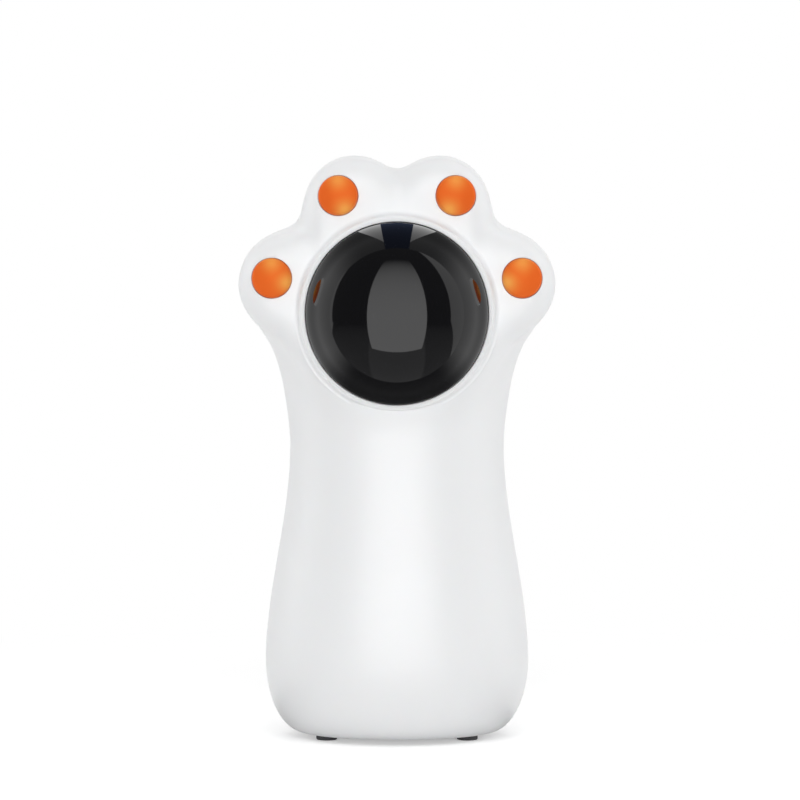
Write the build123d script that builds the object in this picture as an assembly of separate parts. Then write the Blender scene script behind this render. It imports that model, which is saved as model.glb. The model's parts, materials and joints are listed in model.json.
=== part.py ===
"""Automatic cat laser toy: a paw-shaped housing with a small laser on a pan and tilt head.

Written frame: +Z up, front towards -Y, +X to the right, origin on the floor in the middle of the
whole toy's width and depth. The pieces are built about the middle of the column, which lies
FRAME_Y behind that origin, and write() moves them there. All sizes are in millimetres. Every
function that returns a piece makes one separate part, and main() writes each to its own file.
"""

from build123d import *
import math
import os

# ---- Clearances ------------------------------------------------------------------------
RUN_GAP = 0.05            # radial clearance of a shaft in its bearing
FIT_GAP = 0.2             # moulded piece in its seat
SCREW_GAP = 0.03          # screw thread in its pilot hole
THROUGH_GAP = 0.25        # screw shank in a clearance hole
PLAY = 0.3                # end play of a turning piece
RECESS = 0.2              # how far a visible part sits behind its recess floor

# ---- Stack inside the column, from the floor up ----------------------------------------
FOOT_STAND = 1.6          # rubber feet hold the housing off the floor
BASE_PLATE_T = 1.8
LEDGE_T = 1.6             # inner ledge that the base plate is drawn against
SHELF_GAP = 0.4
SHELF_T = 2.0
TAB_T = 0.4
CELL_LENGTH = 65.0
CELL_R = 9.0
MOTOR_GAP = 1.0
PAN_MOTOR_LENGTH = 9.8
PAN_MOTOR_R = 9.8
DECK_T = 2.4
GEAR_LIFT = 0.8
GEAR_T = 2.6
PAD_T = 0.8
YOKE_BASE_T = 1.8
TILT_RISE = 18.3          # yoke base to the tilt axis

FLOOR_TOP = FOOT_STAND + BASE_PLATE_T + LEDGE_T
SHELF_TOP = FLOOR_TOP + SHELF_GAP + SHELF_T
CELL_BOTTOM = SHELF_TOP + TAB_T
CELL_TOP = CELL_BOTTOM + CELL_LENGTH
MOTOR_BOTTOM = CELL_TOP + TAB_T + MOTOR_GAP
DECK_BOTTOM = MOTOR_BOTTOM + PAN_MOTOR_LENGTH
DECK_TOP = DECK_BOTTOM + DECK_T
GEAR_BOTTOM = DECK_TOP + GEAR_LIFT
GEAR_TOP = GEAR_BOTTOM + GEAR_T
YOKE_BOTTOM = GEAR_TOP + PAD_T
YOKE_TOP = YOKE_BOTTOM + YOKE_BASE_T
TILT_Z = YOKE_TOP + TILT_RISE

# ---- Paw housing -----------------------------------------------------------------------
WALL = 2.2
FLAT_HALF = 24.0          # half-width of the flat underside
BELLY_Z = 20.0
BELLY_HALF = 33.7
WAIST_Z = 75.0
WAIST_HALF = 27.4
HEAD_HALF = 31.0
HEAD_RISE = 29.5          # height of the rounded head above its widest level
HEAD_DEPTH = 21.0         # half-depth of the head
COLUMN_OVAL = 0.90        # depth of the column over its width
DOME_ABOVE_HEAD = 3.7     # the dome sits a little above the head's widest level
HEAD_Z = TILT_Z - DOME_ABOVE_HEAD

# The toes and the dome's surround are one pad with a flat front and a domed back. In front
# view each toe is tapered and round-ended: tip as (x, height over the head) and radius, then root.
INNER_TOE = ((11.0, 30.0), 12.5, (5.6, 9.4), 10.3)
OUTER_TOE = ((28.1, 10.6), 12.2, (13.7, 4.5), 7.6)
SURROUND_R = 28.5
PAD_FRONT = -24.0
PAD_BACK = 14.0
PAD_FRONT_ROUND = 7.0     # radius of the pad's front edge
PAD_BACK_ROUND = 14.0     # and of its back edge
TOE_BLEND = 4.9           # width of the soft valleys between toes
SURROUND_BLEND = 12.0     # and between the toes and the dome's surround
PAD_BLEND = 7.0           # and between the pad and the column behind it

# Rows and columns of the skin: foot, column and head sections, and points round each.
FOOT_ROWS = 4
COLUMN_ROWS = 9
COLUMN_ROW_EASE = 1.2     # brings the upper column sections closer together
HEAD_ROWS = 16
TOP_ANGLE = 88.0          # the last section closes the crown
RING_POINTS = 72

# ---- Dome and its opening --------------------------------------------------------------
DOME_R = 23.2
DOME_WALL = 1.8
DOME_SET_BACK = 1.3       # dome's full circle behind the lip's front edge
LIP_PROUD = 2.6
LIP_T = 1.4
LIP_ROUND = 0.6
LIP_DEPTH = 4.4           # lip front to the flange seat
FLANGE_T = 1.4
FLANGE_OVERLAP = 1.0
RETAINER_T = 1.6
RETAINER_BORE_R = 21.5
RETAINER_SCREW_R = 27.0   # radius of the retainer's screw circle
RETAINER_LUG_R = 2.1
RETAINER_ANGLES = (45, 135, 245, 295)
RETAINER_SCREW_GRIP = 1.2  # screw length in the shell

LIP_FRONT = PAD_FRONT - LIP_PROUD
DOME_Y = LIP_FRONT + DOME_SET_BACK
OPENING_R = DOME_R + FIT_GAP
FLANGE_FRONT = LIP_FRONT + LIP_DEPTH
FLANGE_BACK = FLANGE_FRONT + FLANGE_T
FLANGE_R = OPENING_R + FLANGE_OVERLAP
RETAINER_BACK = FLANGE_BACK + RETAINER_T

# ---- Toe beans -------------------------------------------------------------------------
BEAN_R = 5.1
BEAN_SINK = 2.0           # seat depth under the toe's high point
BEAN_SHOULDER = -0.5      # where the bean's side turns into its crown
BEAN_ROUND = 1.2          # radius between side and crown
BEAN_CROWN = 1.6
BEAN_PEG_R = 1.2
BEAN_PEG_LENGTH = 2.8
BEAN_PAD_T = 2.4          # material under the seat
BEAN_PAD_RIM = 1.3
INNER_BEAN_SHIFT = (4.0, 3.5)   # from the toe's tip, sideways and up
OUTER_BEAN_SHIFT = (3.7, 1.9)

# ---- Underside -------------------------------------------------------------------------
RIM = 0.9                 # shell edge left round the base plate
LEDGE_W = 2.6
FOOT_R = 2.7
FOOT_SINK = 0.8
FOOT_X = 18.0
FOOT_Y = 6.8
FOOT_CHAMFER = 0.3

# ---- Screws: shank radius, head radius, head height ------------------------------------
SMALL_SCREW = (0.8, 1.5, 0.9)
MEDIUM_SCREW = (1.1, 2.1, 1.4)
FLAT_SCREW = (1.1, 2.1, 0.8)
CROSS_W = 0.5
CROSS_SHARE = 0.6         # depth of the cross recess over the head's height

# ---- Screw bosses that join the two shells ---------------------------------------------
SHELL_BOSS_R = 3.3
SHELL_SEAT_Y = 4.0        # where the screw heads sit, behind the parting plane
SHELL_SCREW_LENGTH = 11.0
SHELL_BOSS_LENGTH = 10.0
SHELL_LOW_X = 22.0
SHELL_LOW_Z = 20.0
SHELL_HIGH_X = 27.0
SHELL_HIGH_RISE = 2.0     # above the dome's centre
RIB_T = 1.4

# ---- Board, port, switch and light on the back -----------------------------------------
PORT_Z = 22.0
PORT_W = 8.94
PORT_H = 3.16
PORT_WALL = 0.3
PORT_LENGTH = 8.9
PORT_HOLE_GAP = 0.25
PORT_RECESS_W = 12.6
PORT_RECESS_H = 6.8
PORT_RECESS_DEPTH = 1.2
TONGUE_W = 6.7
TONGUE_T = 0.7
TONGUE_BACK = 2.0
TONGUE_SET = 1.0
BOARD_T = 1.6
BOARD_HALF = 11.0
BOARD_BOTTOM = 14.0
BOARD_TOP = 58.0
BOARD_CORNER = 1.5
BOARD_SCREW_IN = 2.2      # screw centres in from the board's edges
STANDOFF = 2.0
STANDOFF_R = 2.2
BUTTON_Z = 49.0
BUTTON_R = 3.9
BUTTON_PROUD = 0.6
BUTTON_TRAVEL = 0.5
BUTTON_FLANGE_R = 4.9
BUTTON_FLANGE_T = 0.9
BUTTON_FLANGE_SET = 0.9   # flange behind the wall, because the wall curves
BUTTON_CHAMFER = 0.35
SWITCH_SIDE = 6.0
SWITCH_H = 2.4
PLUNGER_R = 1.7
PLUNGER_DEPTH = 1.0
PLUNGER_SPACE = 0.2
LED_Z = 40.0
LED_W = 1.6
LED_H = 3.2
LED_T = 1.1
PIPE_R = 1.25
PIPE_FLANGE_R = 2.2
PIPE_FLANGE_T = 0.8
PIPE_FLANGE_SET = 0.5
PIPE_PROUD = 0.2
CHIP_SIDE = 7.0
CHIP_T = 1.2
CHIP_Z = 32.5
CHARGER_X = 7.4
CHARGER_Z = 30.0
CHARGER_W = 4.0
CHARGER_H = 5.0
CHARGER_T = 1.5
COIL_X = 7.6
COIL_Z = 22.5
COIL_SIDE = 4.2
COIL_T = 2.4
CAP_X = -7.4
CAP_Z = 34.0
CAP_R = 2.3
CAP_LENGTH = 4.6
CAP_CHAMFER = 0.3
CHIP_CORNER = 0.3
COIL_CORNER = 0.6
PLUG_X = -8.0
PLUG_Z = 24.5
PLUG_W = 4.8
PLUG_H = 6.0
PLUG_T = 4.4
HEADER_W = 10.0
HEADER_H = 3.2
HEADER_T = 3.0
HEADER_DROP = 1.8         # header centre under the board's top edge

# ---- Chassis ---------------------------------------------------------------------------
SPINE_T = 2.0
SPINE_HALF = 12.5
SHELF_HALF = 14.6
SHELF_FRONT = -6.0
EAR_X = 15.0
EAR_R = 3.0
EAR_LOW_Z = 30.0
EAR_HIGH_Z = 62.0
CHASSIS_BOSS_R = 2.8
CHASSIS_SCREW_LENGTH = 4.6
DECK_HALF = 21.0
DECK_FRONT_GAP = 1.2
GUSSET_X = 11.6
GUSSET_T = 1.6
GUSSET_DEPTH = 5.0
GUSSET_H = 9.0
CELL_GAP = 1.0
CLIP_T = 1.6
CLIP_H = 6.0
CLIP_OPENING = 110.0      # degrees of the clip left open at the front
CLIP_LOW_Z = 20.0
CLIP_HIGH_Z = 56.0
POST_X = 11.6
POST_Y = 9.0
POST_R = 2.8
POST_TOP = 13.0
BASE_SCREW_LENGTH = 7.0
NOTCH_LOW_X = -13.0
NOTCH_HIGH_X = -5.5
NOTCH_TOP = 13.5
SLOT_W = 7.0
SLOT_H = 5.0
TAB_R = 7.5
TAB_TAIL = 3.2

# ---- Gears -----------------------------------------------------------------------------
MODULE = 0.6
PAN_TEETH = 30
PAN_PINION_TEETH = 12
TILT_TEETH = 28
TILT_PINION_TEETH = 10
PRESSURE_ANGLE = 20.0
ADDENDUM = 0.9            # tooth height over the pitch circle, in modules
DEDENDUM = 1.25
BACKLASH = 0.12           # taken off each tooth's thickness at the pitch circle
PINION_ADDENDUM = 0.95

# ---- Pan and tilt head -----------------------------------------------------------------
TURNTABLE_CLEAR = 1.0     # gear to the back of the dome's retainer
POST_PIVOT_R = 3.0
TURN_BOSS_R = 4.6
PAD_R = 8.8
HUB_R = 4.9
HUB_RISE = 0.8
WASHER_R = 4.6
WASHER_T = 0.5
PIVOT_SCREW_LENGTH = 4.5
PAN_SHAFT_R = 1.0
PAN_SHAFT_IN = 3.0
PAN_SHAFT_OVER = 0.6
PAN_NOSE_R = 2.4
PAN_EAR_X = 12.8
PAN_EAR_R = 2.4
PAN_EAR_T = 1.0
YOKE_HALF = 8.0           # inner face of each arm from the middle
ARM_T = 2.0
ARM_TOP_R = 3.8
ARM_FOOT = 7.4
YOKE_DEPTH = 8.4
YOKE_CORNER = 2.0
YOKE_SCREW_Y = 7.0
YOKE_SCREW_LENGTH = 3.2
TILT_MOTOR_R = 4.5
TILT_MOTOR_LENGTH = 11.4
CUP_T = 1.2
CUP_LENGTH = 3.0
CLAMP_T = 1.0
CLAMP_W = 1.2
CLAMP_OPENING = 130.0
TILT_NOSE_R = 1.7
TILT_NOSE_T = 1.0
TILT_SHAFT_R = 0.75
TILT_SHAFT_IN = 2.5
SECTOR_T = 2.0
SECTOR_GAP = 0.5          # sector to the yoke's arm
SECTOR_FROM = -135.0      # toothed arc, as angles from +Y towards +Z
SECTOR_TO = -60.0
TRUNNION_R = 1.5
TRUNNION_OVER = 0.4
CRADLE_BOSS_R = 2.6
SLEEVE_T = 1.0
SLEEVE_FRONT = 5.0
SLEEVE_BACK = 5.0
BARREL_R = 4.0
BARREL_FRONT = 12.6
BARREL_BACK = 7.8
BARREL_BORE_R = 3.2
BARREL_LIP = 1.0
BARREL_CHAMFER = 0.3
APERTURE_R = 2.1
LENS_T = 1.6
LENS_BULGE = 0.5
LENS_RING_T = 1.2
LENS_RING_BORE = 2.3
DIODE_R = 2.7
DIODE_T = 3.2
DIODE_BASE_T = 1.0
LASER_BOARD_T = 1.0
LASER_BOARD_SET = 0.6
PART_GAP = 0.03           # between pieces that sit inside the barrel

# ---- Leads -----------------------------------------------------------------------------
LEAD_R = 0.55
# Each route is a list of points from the part that feeds it to its plug on the board.
CELL_MINUS_ROUTE = [(-6.2, 11.9, 8.4), (-6.4, 17.0, 8.6), (-8.9, 22.2, 12.0), (-9.0, 22.4, 21.3)]
CELL_PLUS_ROUTE = [(-6.0, 12.7, 73.85), (-12.0, 12.0, 73.6), (-12.6, 8.6, 64.0), (-12.6, 8.6, 24.0),
                   (-9.6, 13.2, 11.8), (-7.4, 21.6, 11.6), (-7.0, 22.4, 21.3)]
MOTOR_ROUTE = [(2.0, 13.7, 76.6), (2.0, 17.6, 76.2), (1.6, 21.5, 66.0), (1.6, 21.5, 58.0)]
LEAD_BEND = 2.2

# ---- Places worked out from the sizes above --------------------------------------------
DOME_Z = TILT_Z
GEAR_R = MODULE * PAN_TEETH / 2
SECTOR_R = MODULE * TILT_TEETH / 2
PAN_Y = RETAINER_BACK + TURNTABLE_CLEAR + GEAR_R + ADDENDUM * MODULE
PAN_PINION_Y = PAN_Y + MODULE * (PAN_TEETH + PAN_PINION_TEETH) / 2
TILT_PINION_Z = TILT_Z - MODULE * (TILT_TEETH + TILT_PINION_TEETH) / 2
OPEN_HALF = FLAT_HALF - RIM
OPEN_DEPTH = FLAT_HALF * COLUMN_OVAL - RIM
SECTOR_X = YOKE_HALF - SECTOR_GAP - SECTOR_T
POST_PIVOT_TOP = YOKE_BOTTOM + HUB_RISE + PLAY
FRAME_Y = (DOME_R - DOME_Y - BELLY_HALF * COLUMN_OVAL) / 2
TILT_MOTOR_X = TILT_MOTOR_LENGTH - YOKE_HALF + SECTOR_GAP


# ======== Small helpers =================================================================

def ease(share):
    """Smooth step from 0 to 1."""
    share = min(max(share, 0.0), 1.0)
    return share * share * (3 - 2 * share)


def rod_x(radius, y, z, x_from, x_to):
    """Round bar along X."""
    return Pos((x_from + x_to) / 2, y, z) * Rot(0, 90, 0) * Cylinder(radius, x_to - x_from)


def rod_y(radius, x, z, y_from, y_to):
    """Round bar along Y."""
    return Pos(x, (y_from + y_to) / 2, z) * Rot(90, 0, 0) * Cylinder(radius, y_to - y_from)


def rod_z(radius, x, y, z_from, z_to):
    """Round bar along Z."""
    return Pos(x, y, (z_from + z_to) / 2) * Cylinder(radius, z_to - z_from)


def slab_x(outline, x_from, x_to):
    """Flat piece with its outline in Y and Z."""
    return Pos(x_from, 0, 0) * (Plane.YZ.location * extrude(outline, x_to - x_from))


def slab_y(outline, y_from, y_to):
    """Flat piece with its outline in X and Z."""
    return Pos(0, y_to, 0) * (Plane.XZ.location * extrude(outline, y_to - y_from))


def slab_z(outline, z_from, z_to):
    """Flat piece with its outline in X and Y."""
    return Pos(0, 0, z_from) * extrude(outline, z_to - z_from)


def facing(point, heading):
    """Location whose +Z looks along the heading."""
    return Plane(origin=point, z_dir=heading).location


def turned(outline, point, heading):
    """Turned piece: the outline gives radius and height along the heading."""
    return facing(point, heading) * revolve(Plane.XZ.location * outline, Axis.Z)


def turned_points(points, point, heading):
    """Turned piece with a straight-sided outline."""
    return turned(make_face(Polyline(*points, close=True)), point, heading)


def screw(size, length, point, heading, cross=False):
    """Screw whose head rests on the point and looks along the heading."""
    shank, head, height = size
    outline = [(0, -length), (shank, -length), (shank, 0), (head, 0), (head, height), (0, height)]
    body = turned_points(outline, point, heading)
    if not cross:
        return body
    depth = height * CROSS_SHARE
    for turn in (0, 90):
        slot = Pos(0, 0, height - depth / 2) * Rot(0, 0, turn) * Box(head, CROSS_W, depth)
        body = body - facing(point, heading) * slot
    return body


def gear_outline(teeth, addendum, tooth_at):
    """Involute gear outline with one tooth at the given angle, three points on each flank."""
    pitch = MODULE * teeth / 2
    tip = pitch + addendum * MODULE
    root = pitch - DEDENDUM * MODULE
    base = pitch * math.cos(math.radians(PRESSURE_ANGLE))
    half = math.pi / 2 / teeth - BACKLASH / 2 / pitch
    spread = math.tan(math.radians(PRESSURE_ANGLE)) - math.radians(PRESSURE_ANGLE)
    at_tip = math.acos(base / tip)
    half_tip = half + spread - (math.tan(at_tip) - at_tip)
    flank = [(root, half + spread), (pitch, half), (tip, half_tip)]
    points = []
    for tooth in range(teeth):
        middle = math.radians(tooth_at) + 2 * math.pi * tooth / teeth
        for radius, angle in flank:
            points.append((radius * math.cos(middle - angle), radius * math.sin(middle - angle)))
        for radius, angle in reversed(flank):
            points.append((radius * math.cos(middle + angle), radius * math.sin(middle + angle)))
    return make_face(Polyline(*points, close=True))


# ======== The paw's skin ================================================================

def soft_min(first, second, width):
    """Smaller of two distances, blended over the given width."""
    near = max(width - abs(first - second), 0.0) / width
    return min(first, second) - near * near * width / 4


def column_half(z):
    """Half-width of the column and head at a height."""
    if z <= BELLY_Z:
        share = min((BELLY_Z - z) / (BELLY_Z - FOOT_STAND), 1.0)
        return FLAT_HALF + (BELLY_HALF - FLAT_HALF) * math.sqrt(1 - share * share)
    if z <= WAIST_Z:
        return BELLY_HALF + (WAIST_HALF - BELLY_HALF) * ease((z - BELLY_Z) / (WAIST_Z - BELLY_Z))
    return WAIST_HALF + (HEAD_HALF - WAIST_HALF) * ease((z - WAIST_Z) / (HEAD_Z - WAIST_Z))


def core_distance(x, y, z):
    """Distance to the column and its rounded head."""
    half = column_half(z)
    headward = ease((z - WAIST_Z) / (HEAD_Z - WAIST_Z))
    depth = half * COLUMN_OVAL + (HEAD_DEPTH - HEAD_HALF * COLUMN_OVAL) * headward
    rise = max(z - HEAD_Z, 0.0) / HEAD_RISE
    return (math.hypot(x / half, y / depth, rise) - 1) * depth


def toe_distance(x, z, toe):
    """Distance in front view to one tapered, round-ended toe."""
    (tip_x, tip_rise), tip_r, (root_x, root_rise), root_r = toe
    run = (root_x - tip_x, root_rise - tip_rise)
    offset = (x - tip_x, z - HEAD_Z - tip_rise)
    along = (offset[0] * run[0] + offset[1] * run[1]) / (run[0] ** 2 + run[1] ** 2)
    along = min(max(along, 0.0), 1.0)
    radius = tip_r + along * (root_r - tip_r)
    return math.hypot(offset[0] - along * run[0], offset[1] - along * run[1]) - radius


def outline_distance(x, z):
    """Distance in front view to the outline of the toes and the dome's surround."""
    pair = soft_min(toe_distance(x, z, INNER_TOE), toe_distance(-x, z, INNER_TOE), TOE_BLEND)
    toes = soft_min(pair, toe_distance(x, z, OUTER_TOE), TOE_BLEND)
    return soft_min(toes, math.hypot(x, z - DOME_Z) - SURROUND_R, SURROUND_BLEND)


def pad_distance(x, y, z):
    """Distance to the pad of toes and surround, with its flat front and domed back."""
    middle = (PAD_FRONT + PAD_BACK) / 2
    edge = PAD_FRONT_ROUND if y < middle else PAD_BACK_ROUND
    radial = outline_distance(x, z) + edge
    axial = abs(y - middle) - ((PAD_BACK - PAD_FRONT) / 2 - edge)
    outside = math.hypot(max(radial, 0.0), max(axial, 0.0))
    return outside + min(max(radial, axial), 0.0) - edge


def skin_distance(x, y, z):
    """Distance to the paw's outer skin, negative inside."""
    x = abs(x)
    return soft_min(core_distance(x, y, z), pad_distance(x, y, z), PAD_BLEND)


def skin_point(start, heading, inset=0.0):
    """Point where a ray from inside meets the skin, or the surface a wall inside it."""
    near = 0.0
    far = 2 * (BELLY_HALF + HEAD_HALF)
    for _ in range(32):
        middle = (near + far) / 2
        probe = [start[i] + heading[i] * middle for i in range(3)]
        if skin_distance(*probe) < -inset:
            near = middle
        else:
            far = middle
    return [start[i] + heading[i] * near for i in range(3)]


def back_at(z):
    """Depth of the outer skin on the back's middle line."""
    return skin_point((0, 0, z), (0, 1, 0))[1]


def skin_section(start, climb, inset, flat=False):
    """Closed smooth section of the skin, seen from a point, at a climb angle over level."""
    points = []
    for step in range(RING_POINTS):
        turn = 2 * math.pi * step / RING_POINTS
        heading = (math.cos(climb) * math.cos(turn), math.cos(climb) * math.sin(turn), math.sin(climb))
        points.append(skin_point(start, heading, inset))
    if flat:
        level = sum(point[2] for point in points) / RING_POINTS
        points = [(x, y, level) for x, y, _ in points]
    places = [step / RING_POINTS for step in range(RING_POINTS + 1)]
    return Wire([Edge.make_spline([Vector(*point) for point in points], periodic=True, parameters=places)])


def skin_solid(inset):
    """Solid inside the skin, or inside a surface that lies the inset within it."""
    bottom = FOOT_STAND + inset
    levels = []
    for row in range(FOOT_ROWS):
        swing = math.pi / 2 * row / FOOT_ROWS
        levels.append(BELLY_Z - (BELLY_Z - bottom) * math.cos(swing))
    for row in range(COLUMN_ROWS):
        share = 1 - (1 - row / COLUMN_ROWS) ** COLUMN_ROW_EASE
        levels.append(BELLY_Z + (HEAD_Z - BELLY_Z) * share)
    sections = [skin_section((0, 0, level), 0.0, inset) for level in levels]
    for row in range(HEAD_ROWS + 1):
        climb = math.radians(TOP_ANGLE * row / HEAD_ROWS)
        sections.append(skin_section((0, 0, HEAD_Z), climb, inset, row == HEAD_ROWS))
    return Solid.make_loft(sections)


# ======== Housing =======================================================================

def retainer_places():
    """Centres of the dome retainer's screws, in X and Z."""
    places = []
    for angle in RETAINER_ANGLES:
        turn = math.radians(angle)
        places.append((RETAINER_SCREW_R * math.cos(turn), DOME_Z + RETAINER_SCREW_R * math.sin(turn)))
    return places


def retainer_outline(gap=0.0):
    """Disc with four lugs, in X and Z, or the space that takes it with a gap all round."""
    outline = Pos(0, DOME_Z) * Circle(FLANGE_R + gap)
    for angle in RETAINER_ANGLES:
        lug = Pos(RETAINER_SCREW_R / 2, 0) * SlotCenterToCenter(RETAINER_SCREW_R, 2 * (RETAINER_LUG_R + gap))
        outline = outline + Pos(0, DOME_Z) * Rot(0, 0, angle) * lug
    return outline


def pad_point(x, z):
    """Point of the skin's front at a place in front view."""
    return Vector(*skin_point((x, (PAD_FRONT + PAD_BACK) / 2, z), (0, -1, 0)))


def bean_places():
    """Seat centre and outward heading of each toe bean, by name."""
    toes = {"outer": (OUTER_TOE[0], OUTER_BEAN_SHIFT), "inner": (INNER_TOE[0], INNER_BEAN_SHIFT)}
    places = {}
    for side, sign in (("left", -1), ("right", 1)):
        for name, (tip, shift) in toes.items():
            x = sign * (tip[0] + shift[0])
            z = HEAD_Z + tip[1] + shift[1]
            across = pad_point(x + BEAN_R, z) - pad_point(x - BEAN_R, z)
            upward = pad_point(x, z + BEAN_R) - pad_point(x, z - BEAN_R)
            places[f"toe_bean_{side}_{name}"] = (pad_point(x, z), across.cross(upward))
    return places


def shell_screw_places():
    """Centres of the screws that join the shells, in X and Z."""
    places = []
    for sign in (-1, 1):
        places.append((sign * SHELL_LOW_X, SHELL_LOW_Z))
        places.append((sign * SHELL_HIGH_X, DOME_Z + SHELL_HIGH_RISE))
    return places


def chassis_screw_places():
    """Centres of the screws that hold the chassis to the rear shell, in X and Z."""
    return [(sign * EAR_X, z) for sign in (-1, 1) for z in (EAR_LOW_Z, EAR_HIGH_Z)]


def hollow_paw(outer):
    """Whole housing with its walls, floor ledge and base opening."""
    inner = skin_solid(WALL)
    reach = 2 * (BELLY_HALF + HEAD_HALF)
    above = Pos(0, 0, FLOOR_TOP + reach) * Box(2 * reach, 2 * reach, 2 * reach)
    paw = outer - (inner & above)
    plate_hole = slab_z(Ellipse(OPEN_HALF, OPEN_DEPTH), 0, FOOT_STAND + BASE_PLATE_T)
    ledge_hole = slab_z(Ellipse(OPEN_HALF - LEDGE_W, OPEN_DEPTH - LEDGE_W), 0, FLOOR_TOP + WALL)
    return paw - plate_hole - ledge_hole


def half_space(front):
    """Everything in front of the parting plane, or behind it."""
    reach = 4 * (BELLY_HALF + HEAD_HALF)
    place = -reach / 2 if front else reach / 2
    return Pos(0, place, HEAD_Z / 2) * Box(reach, reach, reach)


def front_shell(outer, paw):
    """Front half: dome opening with its lip and flange seat, four bean seats, screw bosses."""
    shell = paw & half_space(True)
    additions = [rod_y(RETAINER_SCREW_R + RETAINER_LUG_R, 0, DOME_Z, LIP_FRONT, FLANGE_BACK)]
    cuts = [rod_y(OPENING_R, 0, DOME_Z, LIP_FRONT, RETAINER_BACK),
            rod_y(FLANGE_R + FIT_GAP, 0, DOME_Z, FLANGE_FRONT, RETAINER_BACK),
            slab_y(retainer_outline(FIT_GAP), FLANGE_BACK, RETAINER_BACK + RETAINER_T)]
    for x, z in retainer_places():
        cuts.append(rod_y(SMALL_SCREW[0] + SCREW_GAP, x, z, FLANGE_BACK - RETAINER_SCREW_GRIP, FLANGE_BACK))
    for seat, heading in bean_places().values():
        depth = BEAN_SINK + BEAN_PAD_T
        pad = Pos(0, 0, BEAN_CROWN / 2 - depth / 2) * Cylinder(BEAN_R + BEAN_PAD_RIM, BEAN_CROWN + depth)
        additions.append(facing(seat, heading) * pad)
        dish = Pos(0, 0, BEAN_CROWN / 2 - BEAN_SINK / 2) * Cylinder(BEAN_R + FIT_GAP, BEAN_CROWN + BEAN_SINK)
        hole = Pos(0, 0, -depth / 2) * Cylinder(BEAN_PEG_R + RUN_GAP, 2 * depth)
        cuts.append(facing(seat, heading) * (dish + hole))
    for x, z in shell_screw_places():
        side = math.copysign(1, x)
        wall_x = skin_point((0, 0, z), (side, 0, 0))[0]
        rib = Pos((x + wall_x) / 2, -SHELL_BOSS_LENGTH / 2, z)
        additions.append(rib * Box(abs(wall_x - x), SHELL_BOSS_LENGTH, RIB_T))
        additions.append(rod_y(SHELL_BOSS_R, x, z, -SHELL_BOSS_LENGTH, 0))
        cuts.append(rod_y(MEDIUM_SCREW[0] + SCREW_GAP, x, z, -SHELL_SCREW_LENGTH, 0))
    lip = rod_y(OPENING_R + LIP_T, 0, DOME_Z, LIP_FRONT, FLANGE_FRONT)
    lip = fillet(lip.edges().group_by(Axis.Y)[0], LIP_ROUND)
    for addition in additions:
        shell = shell + (addition & outer)
    shell = shell + lip
    for cut in cuts:
        shell = shell - cut
    return shell


def port_outline(width, height):
    """Stadium outline of the charging port, in X and Z."""
    return Pos(0, PORT_Z) * SlotOverall(width, height)


def rear_shell(outer, paw):
    """Rear half: screw tubes, chassis bosses, port recess, button and light holes."""
    shell = paw & half_space(False)
    reach = 2 * BELLY_HALF
    for x, z in shell_screw_places():
        shell = shell + (rod_y(SHELL_BOSS_R, x, z, 0, reach) & outer)
        shell = shell - rod_y(MEDIUM_SCREW[1] + THROUGH_GAP, x, z, SHELL_SEAT_Y, reach)
        shell = shell - rod_y(MEDIUM_SCREW[0] + THROUGH_GAP, x, z, 0, SHELL_SEAT_Y)
    for x, z in chassis_screw_places():
        shell = shell + (rod_y(CHASSIS_BOSS_R, x, z, SPINE_BACK, reach) & outer)
        depth = CHASSIS_SCREW_LENGTH - SPINE_T
        shell = shell - rod_y(SMALL_SCREW[0] + SCREW_GAP, x, z, SPINE_BACK, SPINE_BACK + depth)
    hole = port_outline(PORT_W + 2 * PORT_HOLE_GAP, PORT_H + 2 * PORT_HOLE_GAP)
    recess = port_outline(PORT_RECESS_W, PORT_RECESS_H)
    shell = shell - slab_y(hole, BOARD_BACK, reach)
    shell = shell - slab_y(recess, back_at(PORT_Z) - PORT_RECESS_DEPTH, reach)
    shell = shell - rod_y(BUTTON_R + RUN_GAP, 0, BUTTON_Z, BOARD_BACK, reach)
    shell = shell - rod_y(PIPE_R + RUN_GAP, 0, LED_Z, BOARD_BACK, reach)
    return shell


def base_plate():
    """Oval plate that closes the underside, with four foot seats and two screw seats."""
    plate = slab_z(Ellipse(OPEN_HALF - FIT_GAP, OPEN_DEPTH - FIT_GAP), FOOT_STAND, FOOT_STAND + BASE_PLATE_T)
    for x, y in foot_places().values():
        plate = plate - rod_z(FOOT_R + RUN_GAP, x, y, 0, FOOT_STAND + FOOT_SINK)
    for sign in (-1, 1):
        x = sign * POST_X
        plate = plate - rod_z(FLAT_SCREW[1] + THROUGH_GAP, x, POST_Y, 0, FOOT_STAND + FLAT_SCREW[2] + RECESS)
        plate = plate - rod_z(FLAT_SCREW[0] + THROUGH_GAP, x, POST_Y, 0, FLOOR_TOP)
    return plate


def foot_places():
    """Centres of the rubber feet, by name."""
    places = {}
    for row, y in (("front", -FOOT_Y), ("rear", FOOT_Y)):
        for side, x in (("left", -FOOT_X), ("right", FOOT_X)):
            places[f"foot_{row}_{side}"] = (x, y)
    return places


def rubber_foot(x, y):
    """Round rubber foot glued into its seat."""
    foot = rod_z(FOOT_R, x, y, 0, FOOT_STAND + FOOT_SINK)
    return chamfer(foot.edges().group_by(Axis.Z)[0], FOOT_CHAMFER)


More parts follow.
